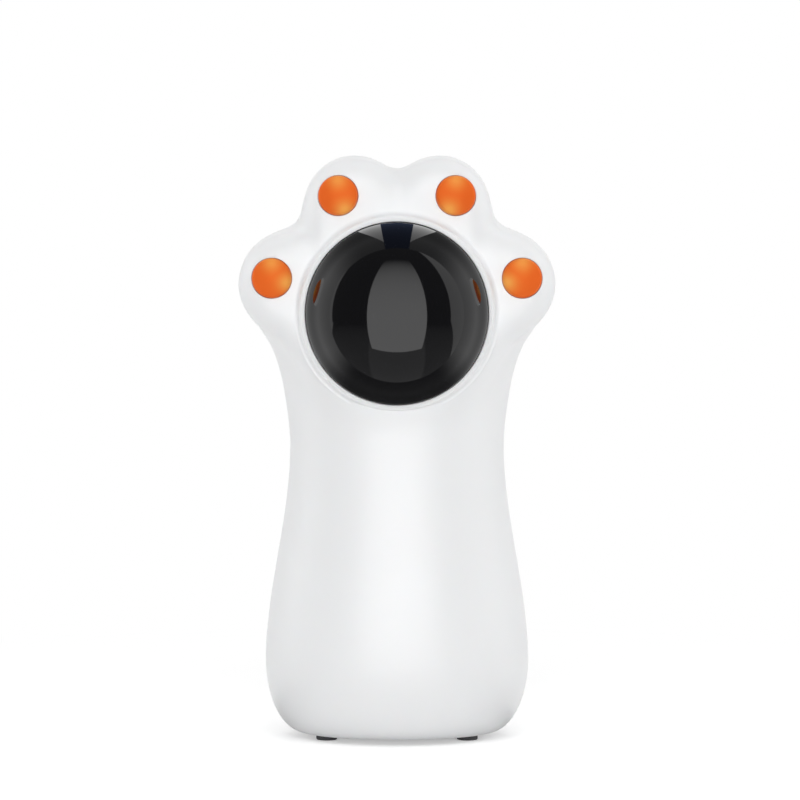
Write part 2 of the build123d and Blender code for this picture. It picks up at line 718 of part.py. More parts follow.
def toe_bean(seat, heading):
    """Soft-edged round pad with a peg."""
    edge_r = BEAN_R - BEAN_ROUND
    rise = BEAN_CROWN - BEAN_ROUND
    middle = (rise ** 2 - edge_r ** 2 - BEAN_SHOULDER ** 2) / (2 * (rise - BEAN_SHOULDER))
    meet = math.degrees(math.atan2(BEAN_SHOULDER - middle, edge_r))
    edge = CenterArc((edge_r, BEAN_SHOULDER), BEAN_ROUND, 0, meet)
    crown = CenterArc((0, middle), BEAN_CROWN - middle, meet, 90 - meet)
    sides = Polyline(crown @ 1, (0, -BEAN_SINK - BEAN_PEG_LENGTH), (BEAN_PEG_R, -BEAN_SINK - BEAN_PEG_LENGTH),
                     (BEAN_PEG_R, -BEAN_SINK), (BEAN_R, -BEAN_SINK), (BEAN_R, BEAN_SHOULDER))
    return turned(make_face(edge + crown + sides), seat, heading)


# ======== Dome ==========================================================================

def laser_dome():
    """Tinted half globe with a short skirt and a flange."""
    inner_r = DOME_R - DOME_WALL
    skirt = DOME_Y - FLANGE_FRONT
    outer = CenterArc((0, 0), DOME_R, 0, 90)
    inner = CenterArc((0, 0), inner_r, 0, 90)
    side = Polyline((DOME_R, 0), (DOME_R, skirt), (FLANGE_R, skirt), (FLANGE_R, skirt - FLANGE_T),
                    (inner_r, skirt - FLANGE_T), (inner_r, 0))
    crown = Line((0, inner_r), (0, DOME_R))
    return turned(make_face(outer + inner + side + crown), (0, DOME_Y, DOME_Z), (0, -1, 0))


def dome_retainer():
    """Ring with four lugs that holds the dome's flange in its seat."""
    outline = retainer_outline() - Pos(0, DOME_Z) * Circle(RETAINER_BORE_R)
    for x, z in retainer_places():
        outline = outline - Pos(x, z) * Circle(SMALL_SCREW[0] + THROUGH_GAP)
    return slab_y(outline, FLANGE_BACK, RETAINER_BACK)


def retainer_screws():
    """Screws of the dome retainer."""
    length = RETAINER_T + RETAINER_SCREW_GRIP
    return [screw(SMALL_SCREW, length, (x, RETAINER_BACK, z), (0, 1, 0)) for x, z in retainer_places()]


# ======== Chassis and power =============================================================

BOARD_BACK = back_at(PORT_Z) - PORT_RECESS_DEPTH - RECESS - PORT_LENGTH
BOARD_FRONT = BOARD_BACK - BOARD_T
SPINE_BACK = BOARD_FRONT - STANDOFF
SPINE_FRONT = SPINE_BACK - SPINE_T
CELL_Y = SPINE_FRONT - CELL_GAP - CELL_R
BUTTON_FACE = back_at(BUTTON_Z) - WALL - BUTTON_FLANGE_SET
BUTTON_BACK = BUTTON_FACE - BUTTON_FLANGE_T


def board_screw_places():
    """Centres of the board's screws, in X and Z."""
    half = BOARD_HALF - BOARD_SCREW_IN
    heights = (BOARD_BOTTOM + BOARD_SCREW_IN, BOARD_TOP - BOARD_SCREW_IN)
    return [(x, z) for x in (-half, half) for z in heights]


def cell_clip(z):
    """Open ring that grips the battery cell, with its back on the spine."""
    ring = Circle(CELL_R + RUN_GAP + CLIP_T) - Circle(CELL_R + RUN_GAP)
    reach = 2 * CELL_R
    swing = math.radians(CLIP_OPENING / 2)
    mouth = make_face(Polyline((0, 0), (-reach * math.tan(swing), -reach), (reach * math.tan(swing), -reach),
                               close=True))
    return slab_z(Pos(0, CELL_Y) * (ring - mouth), z, z + CLIP_H)


def spine():
    """Upright back plate of the chassis with its four ears and two cable openings."""
    bottom = FLOOR_TOP + SHELF_GAP
    outline = Pos(0, (bottom + DECK_TOP) / 2) * Rectangle(2 * SPINE_HALF, DECK_TOP - bottom)
    for z in (EAR_LOW_Z, EAR_HIGH_Z):
        outline = outline + Pos(0, z) * SlotOverall(2 * (EAR_X + EAR_R), 2 * EAR_R)
    for x, z in chassis_screw_places():
        outline = outline - Pos(x, z) * Circle(SMALL_SCREW[0] + THROUGH_GAP)
    notch = Pos((NOTCH_LOW_X + NOTCH_HIGH_X) / 2, (SHELF_TOP + NOTCH_TOP) / 2)
    outline = outline - notch * Rectangle(NOTCH_HIGH_X - NOTCH_LOW_X, NOTCH_TOP - SHELF_TOP)
    outline = outline - Pos(0, MOTOR_BOTTOM + SLOT_H / 2) * SlotOverall(SLOT_W, SLOT_H)
    return slab_y(outline, SPINE_FRONT, SPINE_BACK)


def deck():
    """Oval platform under the turntable, with gussets, pivot post and motor holes."""
    front = RETAINER_BACK + DECK_FRONT_GAP
    half_depth = (SPINE_BACK - front) / 2
    outline = Pos(0, (SPINE_BACK + front) / 2) * Ellipse(DECK_HALF, half_depth)
    platform = slab_z(outline, DECK_BOTTOM, DECK_TOP)
    platform = platform + rod_z(POST_PIVOT_R, 0, PAN_Y, DECK_TOP, POST_PIVOT_TOP)
    platform = platform - rod_z(SMALL_SCREW[0] + SCREW_GAP, 0, PAN_Y, POST_PIVOT_TOP - PIVOT_SCREW_LENGTH,
                                POST_PIVOT_TOP)
    platform = platform - rod_z(PAN_NOSE_R + FIT_GAP, 0, PAN_PINION_Y, DECK_BOTTOM, DECK_TOP)
    pilot = SMALL_SCREW[0] + SCREW_GAP
    for sign in (-1, 1):
        platform = platform - rod_z(pilot, sign * PAN_EAR_X, PAN_PINION_Y, DECK_BOTTOM, DECK_TOP)
        triangle = Polyline((SPINE_FRONT, DECK_BOTTOM), (SPINE_FRONT - GUSSET_DEPTH, DECK_BOTTOM),
                            (SPINE_FRONT, DECK_BOTTOM - GUSSET_H), close=True)
        x = sign * GUSSET_X
        platform = platform + slab_x(make_face(triangle), x - GUSSET_T / 2, x + GUSSET_T / 2)
    return platform


def chassis():
    """Moulded frame that carries battery, board, motors and the pan and tilt head."""
    frame = spine() + deck()
    shelf_depth = SPINE_BACK - SHELF_FRONT
    shelf = Pos(0, (SPINE_BACK + SHELF_FRONT) / 2) * RectangleRounded(2 * SHELF_HALF, shelf_depth, POST_R)
    frame = frame + slab_z(shelf, FLOOR_TOP + SHELF_GAP, SHELF_TOP)
    for z in (CLIP_LOW_Z, CLIP_HIGH_Z):
        frame = frame + cell_clip(z)
    for sign in (-1, 1):
        x = sign * POST_X
        frame = frame + rod_z(POST_R, x, POST_Y, FOOT_STAND + BASE_PLATE_T, POST_TOP)
        depth = BASE_SCREW_LENGTH
        bottom = FOOT_STAND + BASE_PLATE_T
        frame = frame - rod_z(FLAT_SCREW[0] + SCREW_GAP, x, POST_Y, bottom, bottom + depth)
    for x, z in board_screw_places():
        frame = frame + rod_y(STANDOFF_R, x, z, SPINE_BACK, BOARD_FRONT)
        frame = frame - rod_y(SMALL_SCREW[0] + SCREW_GAP, x, z, SPINE_FRONT, BOARD_FRONT)
    return frame


def battery_cell():
    """Round lithium cell with a raised button contact left flat under its tab."""
    cell = rod_z(CELL_R, 0, CELL_Y, CELL_BOTTOM, CELL_TOP)
    return chamfer(cell.edges(), TAB_T)


def cell_tab(z):
    """Welded contact strip with a tail for its lead."""
    strip = slab_z(Pos(0, CELL_Y) * SlotOverall(2 * TAB_R, TAB_R), z, z + TAB_T)
    tail_length = SPINE_FRONT - CELL_Y - PLAY
    tail = Pos(-TAB_R + TAB_TAIL / 2, CELL_Y + tail_length / 2) * Rectangle(TAB_TAIL, tail_length)
    return strip + slab_z(tail, z, z + TAB_T)


def placed_on_board(width, height, thickness, x, z, corner=0.0):
    """Component body that stands on the board's back."""
    body = slab_y(Pos(x, z) * Rectangle(width, height), BOARD_BACK, BOARD_BACK + thickness)
    if corner:
        body = fillet(body.edges().filter_by(Axis.Y), corner)
    return body


def main_board():
    """Circuit board with its screw holes."""
    middle = Pos(0, (BOARD_TOP + BOARD_BOTTOM) / 2)
    outline = middle * RectangleRounded(2 * BOARD_HALF, BOARD_TOP - BOARD_BOTTOM, BOARD_CORNER)
    for x, z in board_screw_places():
        outline = outline - Pos(x, z) * Circle(SMALL_SCREW[0] + THROUGH_GAP)
    return slab_y(outline, BOARD_FRONT, BOARD_BACK)


def capacitor():
    """Upright round capacitor."""
    can = rod_y(CAP_R, CAP_X, CAP_Z, BOARD_BACK, BOARD_BACK + CAP_LENGTH)
    return chamfer(can.edges().group_by(Axis.Y)[-1], CAP_CHAMFER)


def header_z():
    """Height of the motor header's centre."""
    return BOARD_TOP - HEADER_DROP


def usb_c_shell():
    """Metal sleeve of the charging port."""
    outer = port_outline(PORT_W, PORT_H)
    inner = port_outline(PORT_W - 2 * PORT_WALL, PORT_H - 2 * PORT_WALL)
    return slab_y(outer - inner, BOARD_BACK, BOARD_BACK + PORT_LENGTH)


def usb_c_tongue():
    """Contact tongue inside the charging port."""
    block = port_outline(PORT_W - 2 * PORT_WALL - 2 * RUN_GAP, PORT_H - 2 * PORT_WALL - 2 * RUN_GAP)
    tongue = Pos(0, PORT_Z) * Rectangle(TONGUE_W, TONGUE_T)
    end = BOARD_BACK + PORT_LENGTH - TONGUE_SET
    return slab_y(block, BOARD_BACK, BOARD_BACK + TONGUE_BACK) + slab_y(tongue, BOARD_BACK, end)


def light_pipe():
    """Clear pin that carries the light to the back of the housing."""
    start = BOARD_BACK + LED_T + FIT_GAP
    pipe = rod_y(PIPE_R, 0, LED_Z, start, back_at(LED_Z) + PIPE_PROUD)
    flange_face = back_at(LED_Z) - WALL - PIPE_FLANGE_SET
    return pipe + rod_y(PIPE_FLANGE_R, 0, LED_Z, flange_face - PIPE_FLANGE_T, flange_face)


def switch_body():
    """Tactile switch with a round well for its plunger."""
    body = placed_on_board(SWITCH_SIDE, SWITCH_SIDE, SWITCH_H, 0, BUTTON_Z)
    top = BOARD_BACK + SWITCH_H
    well = rod_y(PLUNGER_R + RUN_GAP, 0, BUTTON_Z, top - PLUNGER_DEPTH - BUTTON_TRAVEL - PLUNGER_SPACE, top)
    return body - well


def switch_plunger():
    """Plunger of the tactile switch, up against the button."""
    return rod_y(PLUNGER_R, 0, BUTTON_Z, BOARD_BACK + SWITCH_H - PLUNGER_DEPTH, BUTTON_BACK)


def power_button():
    """Round push button with the flange that keeps it in the shell."""
    cap = rod_y(BUTTON_R, 0, BUTTON_Z, BUTTON_BACK, back_at(BUTTON_Z) + BUTTON_PROUD)
    cap = chamfer(cap.edges().group_by(Axis.Y)[-1], BUTTON_CHAMFER)
    return cap + rod_y(BUTTON_FLANGE_R, 0, BUTTON_Z, BUTTON_BACK, BUTTON_FACE)


def lead(route, shift=0.0):
    """One insulated lead along its route."""
    path = FilletPolyline(*[(x + shift, y, z) for x, y, z in route], radius=LEAD_BEND)
    return sweep(facing(path @ 0, path % 0) * Circle(LEAD_R), path=path)


# ======== Pan drive =====================================================================

def pan_motor():
    """Flat geared motor with two ears and a nose that passes through the deck."""
    can = rod_z(PAN_MOTOR_R, 0, PAN_PINION_Y, MOTOR_BOTTOM, DECK_BOTTOM)
    ears = Pos(0, PAN_PINION_Y) * SlotOverall(2 * (PAN_EAR_X + PAN_EAR_R), 2 * PAN_EAR_R)
    for sign in (-1, 1):
        ears = ears - Pos(sign * PAN_EAR_X, PAN_PINION_Y) * Circle(SMALL_SCREW[0] + THROUGH_GAP)
    nose_top = DECK_TOP + FIT_GAP
    body = can + slab_z(ears, DECK_BOTTOM - PAN_EAR_T, DECK_BOTTOM)
    body = body + rod_z(PAN_NOSE_R, 0, PAN_PINION_Y, DECK_BOTTOM, nose_top)
    return body - rod_z(PAN_SHAFT_R + RUN_GAP, 0, PAN_PINION_Y, DECK_BOTTOM - PAN_SHAFT_IN - PLAY, nose_top)


def pan_pinion():
    """Small gear on the motor's shaft."""
    tooth_at = -90 + 180 / PAN_PINION_TEETH
    teeth = Pos(0, PAN_PINION_Y) * gear_outline(PAN_PINION_TEETH, PINION_ADDENDUM, tooth_at)
    shaft = rod_z(PAN_SHAFT_R, 0, PAN_PINION_Y, DECK_BOTTOM - PAN_SHAFT_IN, GEAR_TOP + PAN_SHAFT_OVER)
    return slab_z(teeth, GEAR_BOTTOM, GEAR_TOP) + shaft


def yoke_screw_places():
    """Centres of the screws that hold the yoke on the turntable, in X and Y."""
    return [(0, PAN_Y - YOKE_SCREW_Y), (0, PAN_Y + YOKE_SCREW_Y)]


def turntable():
    """Ring gear with the hub that turns on the pivot post."""
    table = slab_z(Pos(0, PAN_Y) * gear_outline(PAN_TEETH, ADDENDUM, 90), GEAR_BOTTOM, GEAR_TOP)
    table = table + rod_z(TURN_BOSS_R, 0, PAN_Y, DECK_TOP + PLAY, GEAR_BOTTOM)
    table = table + rod_z(PAD_R, 0, PAN_Y, GEAR_TOP, YOKE_BOTTOM)
    table = table + rod_z(HUB_R, 0, PAN_Y, YOKE_BOTTOM, YOKE_BOTTOM + HUB_RISE)
    for x, y in yoke_screw_places():
        depth = YOKE_SCREW_LENGTH - YOKE_BASE_T
        table = table - rod_z(SMALL_SCREW[0] + SCREW_GAP, x, y, YOKE_BOTTOM - depth, YOKE_BOTTOM)
    return table - rod_z(POST_PIVOT_R + RUN_GAP, 0, PAN_Y, DECK_TOP, YOKE_TOP)


def pivot_washer():
    """Washer that keeps the turntable on its post."""
    ring = Pos(0, PAN_Y) * (Circle(WASHER_R) - Circle(SMALL_SCREW[0] + RUN_GAP))
    return slab_z(ring, POST_PIVOT_TOP, POST_PIVOT_TOP + WASHER_T)


# ======== Tilt drive and laser ==========================================================

def tilt_yoke():
    """Fork on the turntable: two arms with trunnion bores and a cup for the tilt motor."""
    width = 2 * (YOKE_HALF + ARM_T)
    base = Pos(0, PAN_Y) * RectangleRounded(width, 2 * YOKE_DEPTH, YOKE_CORNER)
    base = base - Pos(0, PAN_Y) * Circle(HUB_R + FIT_GAP)
    for x, y in yoke_screw_places():
        base = base - Pos(x, y) * Circle(SMALL_SCREW[0] + THROUGH_GAP)
    yoke = slab_z(base, YOKE_BOTTOM, YOKE_TOP)
    foot = Line((PAN_Y - ARM_FOOT, YOKE_BOTTOM), (PAN_Y + ARM_FOOT, YOKE_BOTTOM))
    head = CenterArc((PAN_Y, TILT_Z), ARM_TOP_R, 0, 360)
    arm = make_hull(foot.edges() + head.edges())
    for sign in (-1, 1):
        low = min(sign * YOKE_HALF, sign * (YOKE_HALF + ARM_T))
        yoke = yoke + slab_x(arm, low, low + ARM_T)
    cup = Pos(PAN_Y, TILT_PINION_Z) * Circle(TILT_MOTOR_R + RUN_GAP + CUP_T)
    yoke = yoke + slab_x(cup, -YOKE_HALF, -YOKE_HALF + CUP_LENGTH)
    motor_start = -YOKE_HALF + SECTOR_GAP
    yoke = yoke - rod_x(TILT_MOTOR_R + RUN_GAP, PAN_Y, TILT_PINION_Z, motor_start, YOKE_HALF)
    return yoke - rod_x(TRUNNION_R + RUN_GAP, PAN_Y, TILT_Z, -width, width)


def tilt_motor():
    """Small round geared motor that lies between the arms."""
    start = -YOKE_HALF + SECTOR_GAP
    body = rod_x(TILT_MOTOR_R, PAN_Y, TILT_PINION_Z, start, TILT_MOTOR_X)
    body = body + rod_x(TILT_NOSE_R, PAN_Y, TILT_PINION_Z, TILT_MOTOR_X, TILT_MOTOR_X + TILT_NOSE_T)
    bore_from = TILT_MOTOR_X - TILT_SHAFT_IN - PLAY
    return body - rod_x(TILT_SHAFT_R + RUN_GAP, PAN_Y, TILT_PINION_Z, bore_from, TILT_MOTOR_X + TILT_NOSE_T)


def tilt_motor_clip():
    """Spring clip that stands on the yoke's base and grips the tilt motor."""
    inner = TILT_MOTOR_R + RUN_GAP
    ring = Circle(inner + CLAMP_T) - Circle(inner)
    reach = 2 * TILT_MOTOR_R
    swing = math.radians(CLAMP_OPENING / 2)
    mouth = make_face(Polyline((0, 0), (-reach * math.tan(swing), reach), (reach * math.tan(swing), reach),
                               close=True))
    drop = TILT_PINION_Z - YOKE_TOP
    legs = Pos(0, -drop / 2) * (Rectangle(2 * (inner + CLAMP_T), drop) - Rectangle(2 * inner, drop))
    outline = Pos(PAN_Y, TILT_PINION_Z) * ((ring - mouth) + legs)
    return slab_x(outline, TILT_MOTOR_X - FIT_GAP - CLAMP_W, TILT_MOTOR_X - FIT_GAP)


def tilt_pinion():
    """Small gear on the tilt motor's shaft."""
    tooth_at = 90 + 180 / TILT_PINION_TEETH
    teeth = Pos(PAN_Y, TILT_PINION_Z) * gear_outline(TILT_PINION_TEETH, PINION_ADDENDUM, tooth_at)
    gear = slab_x(teeth, SECTOR_X, SECTOR_X + SECTOR_T)
    return gear + rod_x(TILT_SHAFT_R, PAN_Y, TILT_PINION_Z, TILT_MOTOR_X - TILT_SHAFT_IN, SECTOR_X + SECTOR_T)


def laser_cradle():
    """Sleeve for the laser barrel with two trunnions and a toothed sector."""
    sleeve_r = BARREL_R + PART_GAP
    body = rod_y(sleeve_r + SLEEVE_T, 0, TILT_Z, PAN_Y - SLEEVE_FRONT, PAN_Y + SLEEVE_BACK)
    boss_end = YOKE_HALF - PLAY
    pin_end = YOKE_HALF + ARM_T + TRUNNION_OVER
    body = body + rod_x(CRADLE_BOSS_R, PAN_Y, TILT_Z, -boss_end, boss_end)
    body = body + rod_x(TRUNNION_R, PAN_Y, TILT_Z, -pin_end, pin_end)
    reach = 2 * SECTOR_R
    swing = [math.radians(SECTOR_FROM), math.radians(SECTOR_TO)]
    fan = Polyline((0, 0), (reach * math.cos(swing[0]), reach * math.sin(swing[0])),
                   (reach * math.cos((swing[0] + swing[1]) / 2), reach * math.sin((swing[0] + swing[1]) / 2)),
                   (reach * math.cos(swing[1]), reach * math.sin(swing[1])), close=True)
    sector = gear_outline(TILT_TEETH, ADDENDUM, -90) & make_face(fan)
    body = body + slab_x(Pos(PAN_Y, TILT_Z) * sector, SECTOR_X, SECTOR_X + SECTOR_T)
    return body - rod_y(sleeve_r, 0, TILT_Z, PAN_Y - BARREL_FRONT, PAN_Y + BARREL_BACK)


def barrel_piece(outline):
    """Turned piece of the laser, its heights counted forward from the tilt axis."""
    return turned(outline, (0, PAN_Y, TILT_Z), (0, -1, 0))


def ring_outline(inner, outer, low, high):
    """Rectangle between two radii and two heights."""
    return make_face(Polyline((inner, low), (outer, low), (outer, high), (inner, high), close=True))


def laser_barrel():
    """Turned brass tube with a front lip."""
    outline = Polyline((BARREL_BORE_R, -BARREL_BACK), (BARREL_R, -BARREL_BACK),
                       (BARREL_R, BARREL_FRONT - BARREL_CHAMFER), (BARREL_R - BARREL_CHAMFER, BARREL_FRONT),
                       (APERTURE_R, BARREL_FRONT),
                       (APERTURE_R, BARREL_FRONT - BARREL_LIP), (BARREL_BORE_R, BARREL_FRONT - BARREL_LIP),
                       close=True)
    return barrel_piece(make_face(outline))


def laser_lens():
    """Small lens seated against the barrel's front lip."""
    front = BARREL_FRONT - BARREL_LIP
    rim = BARREL_BORE_R - PART_GAP
    edge = APERTURE_R - PART_GAP
    outline = Polyline((0, front - LENS_T), (rim, front - LENS_T), (rim, front), (edge, front),
                       (edge / 2, front + LENS_BULGE), (0, front + LENS_BULGE), close=True)
    return barrel_piece(make_face(outline))


def lens_ring():
    """Threaded ring that holds the lens."""
    top = BARREL_FRONT - BARREL_LIP - LENS_T
    return barrel_piece(ring_outline(LENS_RING_BORE, BARREL_BORE_R - PART_GAP, top - LENS_RING_T, top))


def laser_board_top():
    """Front face of the driver board, counted from the tilt axis."""
    return -BARREL_BACK + LASER_BOARD_SET + LASER_BOARD_T


def laser_board():
    """Round driver board in the back of the barrel."""
    top = laser_board_top()
    return barrel_piece(ring_outline(0, BARREL_BORE_R - PART_GAP, top - LASER_BOARD_T, top))


def laser_diode():
    """Laser diode can on its driver board."""
    top = laser_board_top()
    base_r = BARREL_BORE_R - PART_GAP
    outline = Polyline((0, top), (base_r, top), (base_r, top + DIODE_BASE_T), (DIODE_R, top + DIODE_BASE_T),
                       (DIODE_R, top + DIODE_T), (0, top + DIODE_T), close=True)
    return barrel_piece(make_face(outline))


# ======== All pieces ====================================================================

def housing_pieces():
    """Shells, plate, feet and beans."""
    outer = skin_solid(0.0)
    paw = hollow_paw(outer)
    pieces = {"front_shell": front_shell(outer, paw), "rear_shell": rear_shell(outer, paw),
              "base_plate": base_plate()}
    for name, (x, y) in foot_places().items():
        pieces[name] = rubber_foot(x, y)
    for name, (seat, heading) in bean_places().items():
        pieces[name] = toe_bean(seat, heading)
    return pieces


def fixed_screws():
    """Groups of equal screws that hold still."""
    shell = [screw(MEDIUM_SCREW, SHELL_SCREW_LENGTH, (x, SHELL_SEAT_Y, z), (0, 1, 0), True)
             for x, z in shell_screw_places()]
    seat = FOOT_STAND + FLAT_SCREW[2] + RECESS
    base = [screw(FLAT_SCREW, BASE_SCREW_LENGTH, (sign * POST_X, POST_Y, seat), (0, 0, -1), True)
            for sign in (-1, 1)]
    frame = [screw(SMALL_SCREW, CHASSIS_SCREW_LENGTH, (x, SPINE_FRONT, z), (0, -1, 0))
             for x, z in chassis_screw_places()]
    board = [screw(SMALL_SCREW, BOARD_T + STANDOFF + SPINE_T / 2, (x, BOARD_BACK, z), (0, 1, 0))
             for x, z in board_screw_places()]
    ear = DECK_BOTTOM - PAN_EAR_T
    motor = [screw(SMALL_SCREW, PAN_EAR_T + DECK_T / 2, (sign * PAN_EAR_X, PAN_PINION_Y, ear), (0, 0, -1))
             for sign in (-1, 1)]
    return {"shell_screws": shell, "base_screws": base, "chassis_screws": frame, "board_screws": board,
            "pan_motor_screws": motor, "retainer_screws": retainer_screws()}


def electric_pieces():
    """Battery, board, components and leads."""
    return {"battery_cell": battery_cell(),
            "cell_tab_top": cell_tab(CELL_TOP), "cell_tab_bottom": cell_tab(CELL_BOTTOM - TAB_T),
            "main_board": main_board(),
            "controller_chip": placed_on_board(CHIP_SIDE, CHIP_SIDE, CHIP_T, 0, CHIP_Z, CHIP_CORNER),
            "charger_chip": placed_on_board(CHARGER_W, CHARGER_H, CHARGER_T, CHARGER_X, CHARGER_Z),
            "inductor": placed_on_board(COIL_SIDE, COIL_SIDE, COIL_T, COIL_X, COIL_Z, COIL_CORNER),
            "capacitor": capacitor(),
            "battery_connector": placed_on_board(PLUG_W, PLUG_H, PLUG_T, PLUG_X, PLUG_Z),
            "motor_header": placed_on_board(HEADER_W, HEADER_H, HEADER_T, 0, header_z()),
            "usb_c_shell": usb_c_shell(), "usb_c_tongue": usb_c_tongue(),
            "indicator_led": placed_on_board(LED_W, LED_H, LED_T, 0, LED_Z),
            "light_pipe": light_pipe(), "switch_body": switch_body(),
            "battery_leads": [lead(CELL_MINUS_ROUTE), lead(CELL_PLUS_ROUTE)],
            "pan_motor_leads": [lead(MOTOR_ROUTE), lead(MOTOR_ROUTE, -2 * MOTOR_ROUTE[0][0])]}


def moving_pieces():
    """Pan head, tilt cradle with the laser, drive gears and the button."""
    return {"pan_pinion": pan_pinion(), "turntable": turntable(), "tilt_yoke": tilt_yoke(),
            "yoke_screws": [screw(SMALL_SCREW, YOKE_SCREW_LENGTH, (x, y, YOKE_TOP), (0, 0, 1))
                            for x, y in yoke_screw_places()],
            "tilt_motor": tilt_motor(), "tilt_motor_clip": tilt_motor_clip(), "tilt_pinion": tilt_pinion(),
            "laser_cradle": laser_cradle(), "laser_barrel": laser_barrel(), "laser_lens": laser_lens(),
            "lens_ring": lens_ring(), "laser_board": laser_board(), "laser_diode": laser_diode(),
            "power_button": power_button(), "switch_plunger": switch_plunger()}


def write(name, piece):
    """One file, in the written frame, for a piece or for a group of equal pieces."""
    group = piece if isinstance(piece, list) else [piece]
    solids = [Pos(0, FRAME_Y, 0) * solid for item in group for solid in item.solids()]
    export_step(Compound(children=solids), f"parts/{name}.step")


def main():
    """Build every piece and write it."""
    os.makedirs("parts", exist_ok=True)
    pieces = housing_pieces()
    pivot_seat = (0, PAN_Y, POST_PIVOT_TOP + WASHER_T)
    pieces.update({"laser_dome": laser_dome(), "dome_retainer": dome_retainer(), "chassis": chassis(),
                   "pan_motor": pan_motor(), "pivot_washer": pivot_washer(),
                   "pivot_screw": screw(SMALL_SCREW, PIVOT_SCREW_LENGTH, pivot_seat, (0, 0, 1))})
    pieces.update(fixed_screws())
    pieces.update(electric_pieces())
    pieces.update(moving_pieces())
    for name, piece in pieces.items():
        write(name, piece)


main()
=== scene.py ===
"""Looks of the automatic cat laser toy: moulded paw housing, dome, toe beans and drive.

Metres, +Z up, front towards -Y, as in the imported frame. Sizes of the toy's pieces are in
millimetres, as a maker would write them, and MM turns them to metres where a mesh is made.
"""

import json
import logging
import math
from dataclasses import dataclass
from enum import Enum
from typing import Mapping, Optional, Sequence, Union

import bpy
import numpy as np
from mathutils import Matrix, Vector

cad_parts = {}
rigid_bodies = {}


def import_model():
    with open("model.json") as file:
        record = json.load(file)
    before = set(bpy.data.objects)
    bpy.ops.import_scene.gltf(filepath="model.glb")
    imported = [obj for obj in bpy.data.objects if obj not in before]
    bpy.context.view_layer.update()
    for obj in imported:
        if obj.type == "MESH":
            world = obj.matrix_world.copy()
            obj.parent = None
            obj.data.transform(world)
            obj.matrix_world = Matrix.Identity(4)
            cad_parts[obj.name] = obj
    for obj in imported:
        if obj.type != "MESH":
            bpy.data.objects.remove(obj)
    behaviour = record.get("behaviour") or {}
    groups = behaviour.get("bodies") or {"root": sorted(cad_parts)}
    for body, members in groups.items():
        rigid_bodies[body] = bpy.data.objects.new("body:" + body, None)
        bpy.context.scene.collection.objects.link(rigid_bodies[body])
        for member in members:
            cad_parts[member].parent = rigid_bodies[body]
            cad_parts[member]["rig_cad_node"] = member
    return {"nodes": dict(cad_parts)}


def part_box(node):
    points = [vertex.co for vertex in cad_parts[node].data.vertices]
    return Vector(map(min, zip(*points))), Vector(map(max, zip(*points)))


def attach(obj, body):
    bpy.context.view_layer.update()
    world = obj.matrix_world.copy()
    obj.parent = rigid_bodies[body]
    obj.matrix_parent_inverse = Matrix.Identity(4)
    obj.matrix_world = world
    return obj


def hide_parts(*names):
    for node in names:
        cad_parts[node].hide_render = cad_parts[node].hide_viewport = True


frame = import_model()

LOG = logging.getLogger("cat_laser_toy")
MM = 0.001
# Metres within which two places count as one, and millimetres within which points are merged.
HAIR = 1e-9
MERGE_MM = 0.002
# Segments round a fine, a plain and a coarse turned shape, round a bar, and along a small arc.
FINE_TURN = 160
PLAIN_TURN = 64
COARSE_TURN = 48
BAR_TURN = 96
ROUND_STEPS = 6
# Attribute that marks a bean's painted highlight, where its colour is lightened towards amber.
PAINTED_HIGHLIGHT = "painted_highlight"
# Inputs of a range node, in the order in which fades are written.
RANGE = ("From Min", "From Max", "To Min", "To Max")
# Pieces are built about the middle of the column, in millimetres. The dome's front lies this far
# ahead of it, which gives the column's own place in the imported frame.
DOME_FRONT = -48.5
COLUMN_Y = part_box("laser_dome")[0][1] / MM - DOME_FRONT
Piece = bpy.types.Object
Material = bpy.types.Material
Tree = bpy.types.NodeTree
Node = bpy.types.Node
Socket = bpy.types.NodeSocket
Point = Sequence[float]
NodeInput = Union[float, Sequence[float], Socket]


# ======== Finishes ======================================================================

# Widths of soft colour patches and of worn patches, and the part of the noise that wear uses.
PATCH_MM = 25.0
WEAR_MM = 8.0
WEAR_SPAN = (0.3, 0.7)
# Board tracks: raster, how crooked it is, bands to a cell, and the edge of a track.
RASTER_MM = 2.54
RASTER_DISORDER = 0.6
TRACK_BANDS = 4.2
TRACK_EDGE = (0.42, 0.5)
# Grain spacings to one unit of a wave's scale, and how much wider a cast skin's bumps are.
WAVE_RUN = 6.283
CAST_SPREAD = 2.0
# Height of the relief as a share of its grain, which counts as this wide at least.
BUMP_SHARE = 0.1
BUMP_LEAST_MM = 0.2
# How far light spreads under a surface: red, green and blue, and the unit they count in.
SPREAD = (1.0, 0.5, 0.3)
SPREAD_MM = 1.5


def linear(hex_colour: str) -> tuple[float, float, float, float]:
    """Turn an sRGB hex colour to linear light.

    Args:
        hex_colour: colour as "#RRGGBB".

    Returns:
        Linear red, green, blue and a full alpha.
    """
    channels = [int(hex_colour[i:i + 2], 16) / 255 for i in (1, 3, 5)]
    light = [c / 12.92 if c <= 0.04045 else ((c + 0.055) / 1.055) ** 2.4 for c in channels]
    return light[0], light[1], light[2], 1.0


def add_node(tree: Tree, kind: str, inputs: Optional[Mapping[str, NodeInput]] = None,
             **settings: object) -> Node:
    """Add one node with its settings, values and links.

    Args:
        tree: node tree that takes the node.
        kind: Blender's name of the node type.
        inputs: value or source socket for each named or numbered input.
        settings: properties of the node, such as operation.

    Returns:
        The new node.
    """
    node = tree.nodes.new(kind)
    for name, value in settings.items():
        setattr(node, name, value)
    for name, value in (inputs or {}).items():
        socket = node.inputs[int(name)] if name.isdigit() else node.inputs[name]
        if isinstance(value, Socket):
            tree.links.new(value, socket)
        else:
            socket.default_value = value
    return node


class Grain(Enum):
    """How a surface was made, which decides its fine relief."""

    SPARKED = "spark-eroded mould face: fine even bumps"
    POLISHED = "polished mould face: only a long faint ripple"
    DRAWN = "marks along one direction, or rings, from drawing or turning"
    CAST = "soft uneven skin of rubber or resin"
    MASKED = "lacquer over copper tracks"


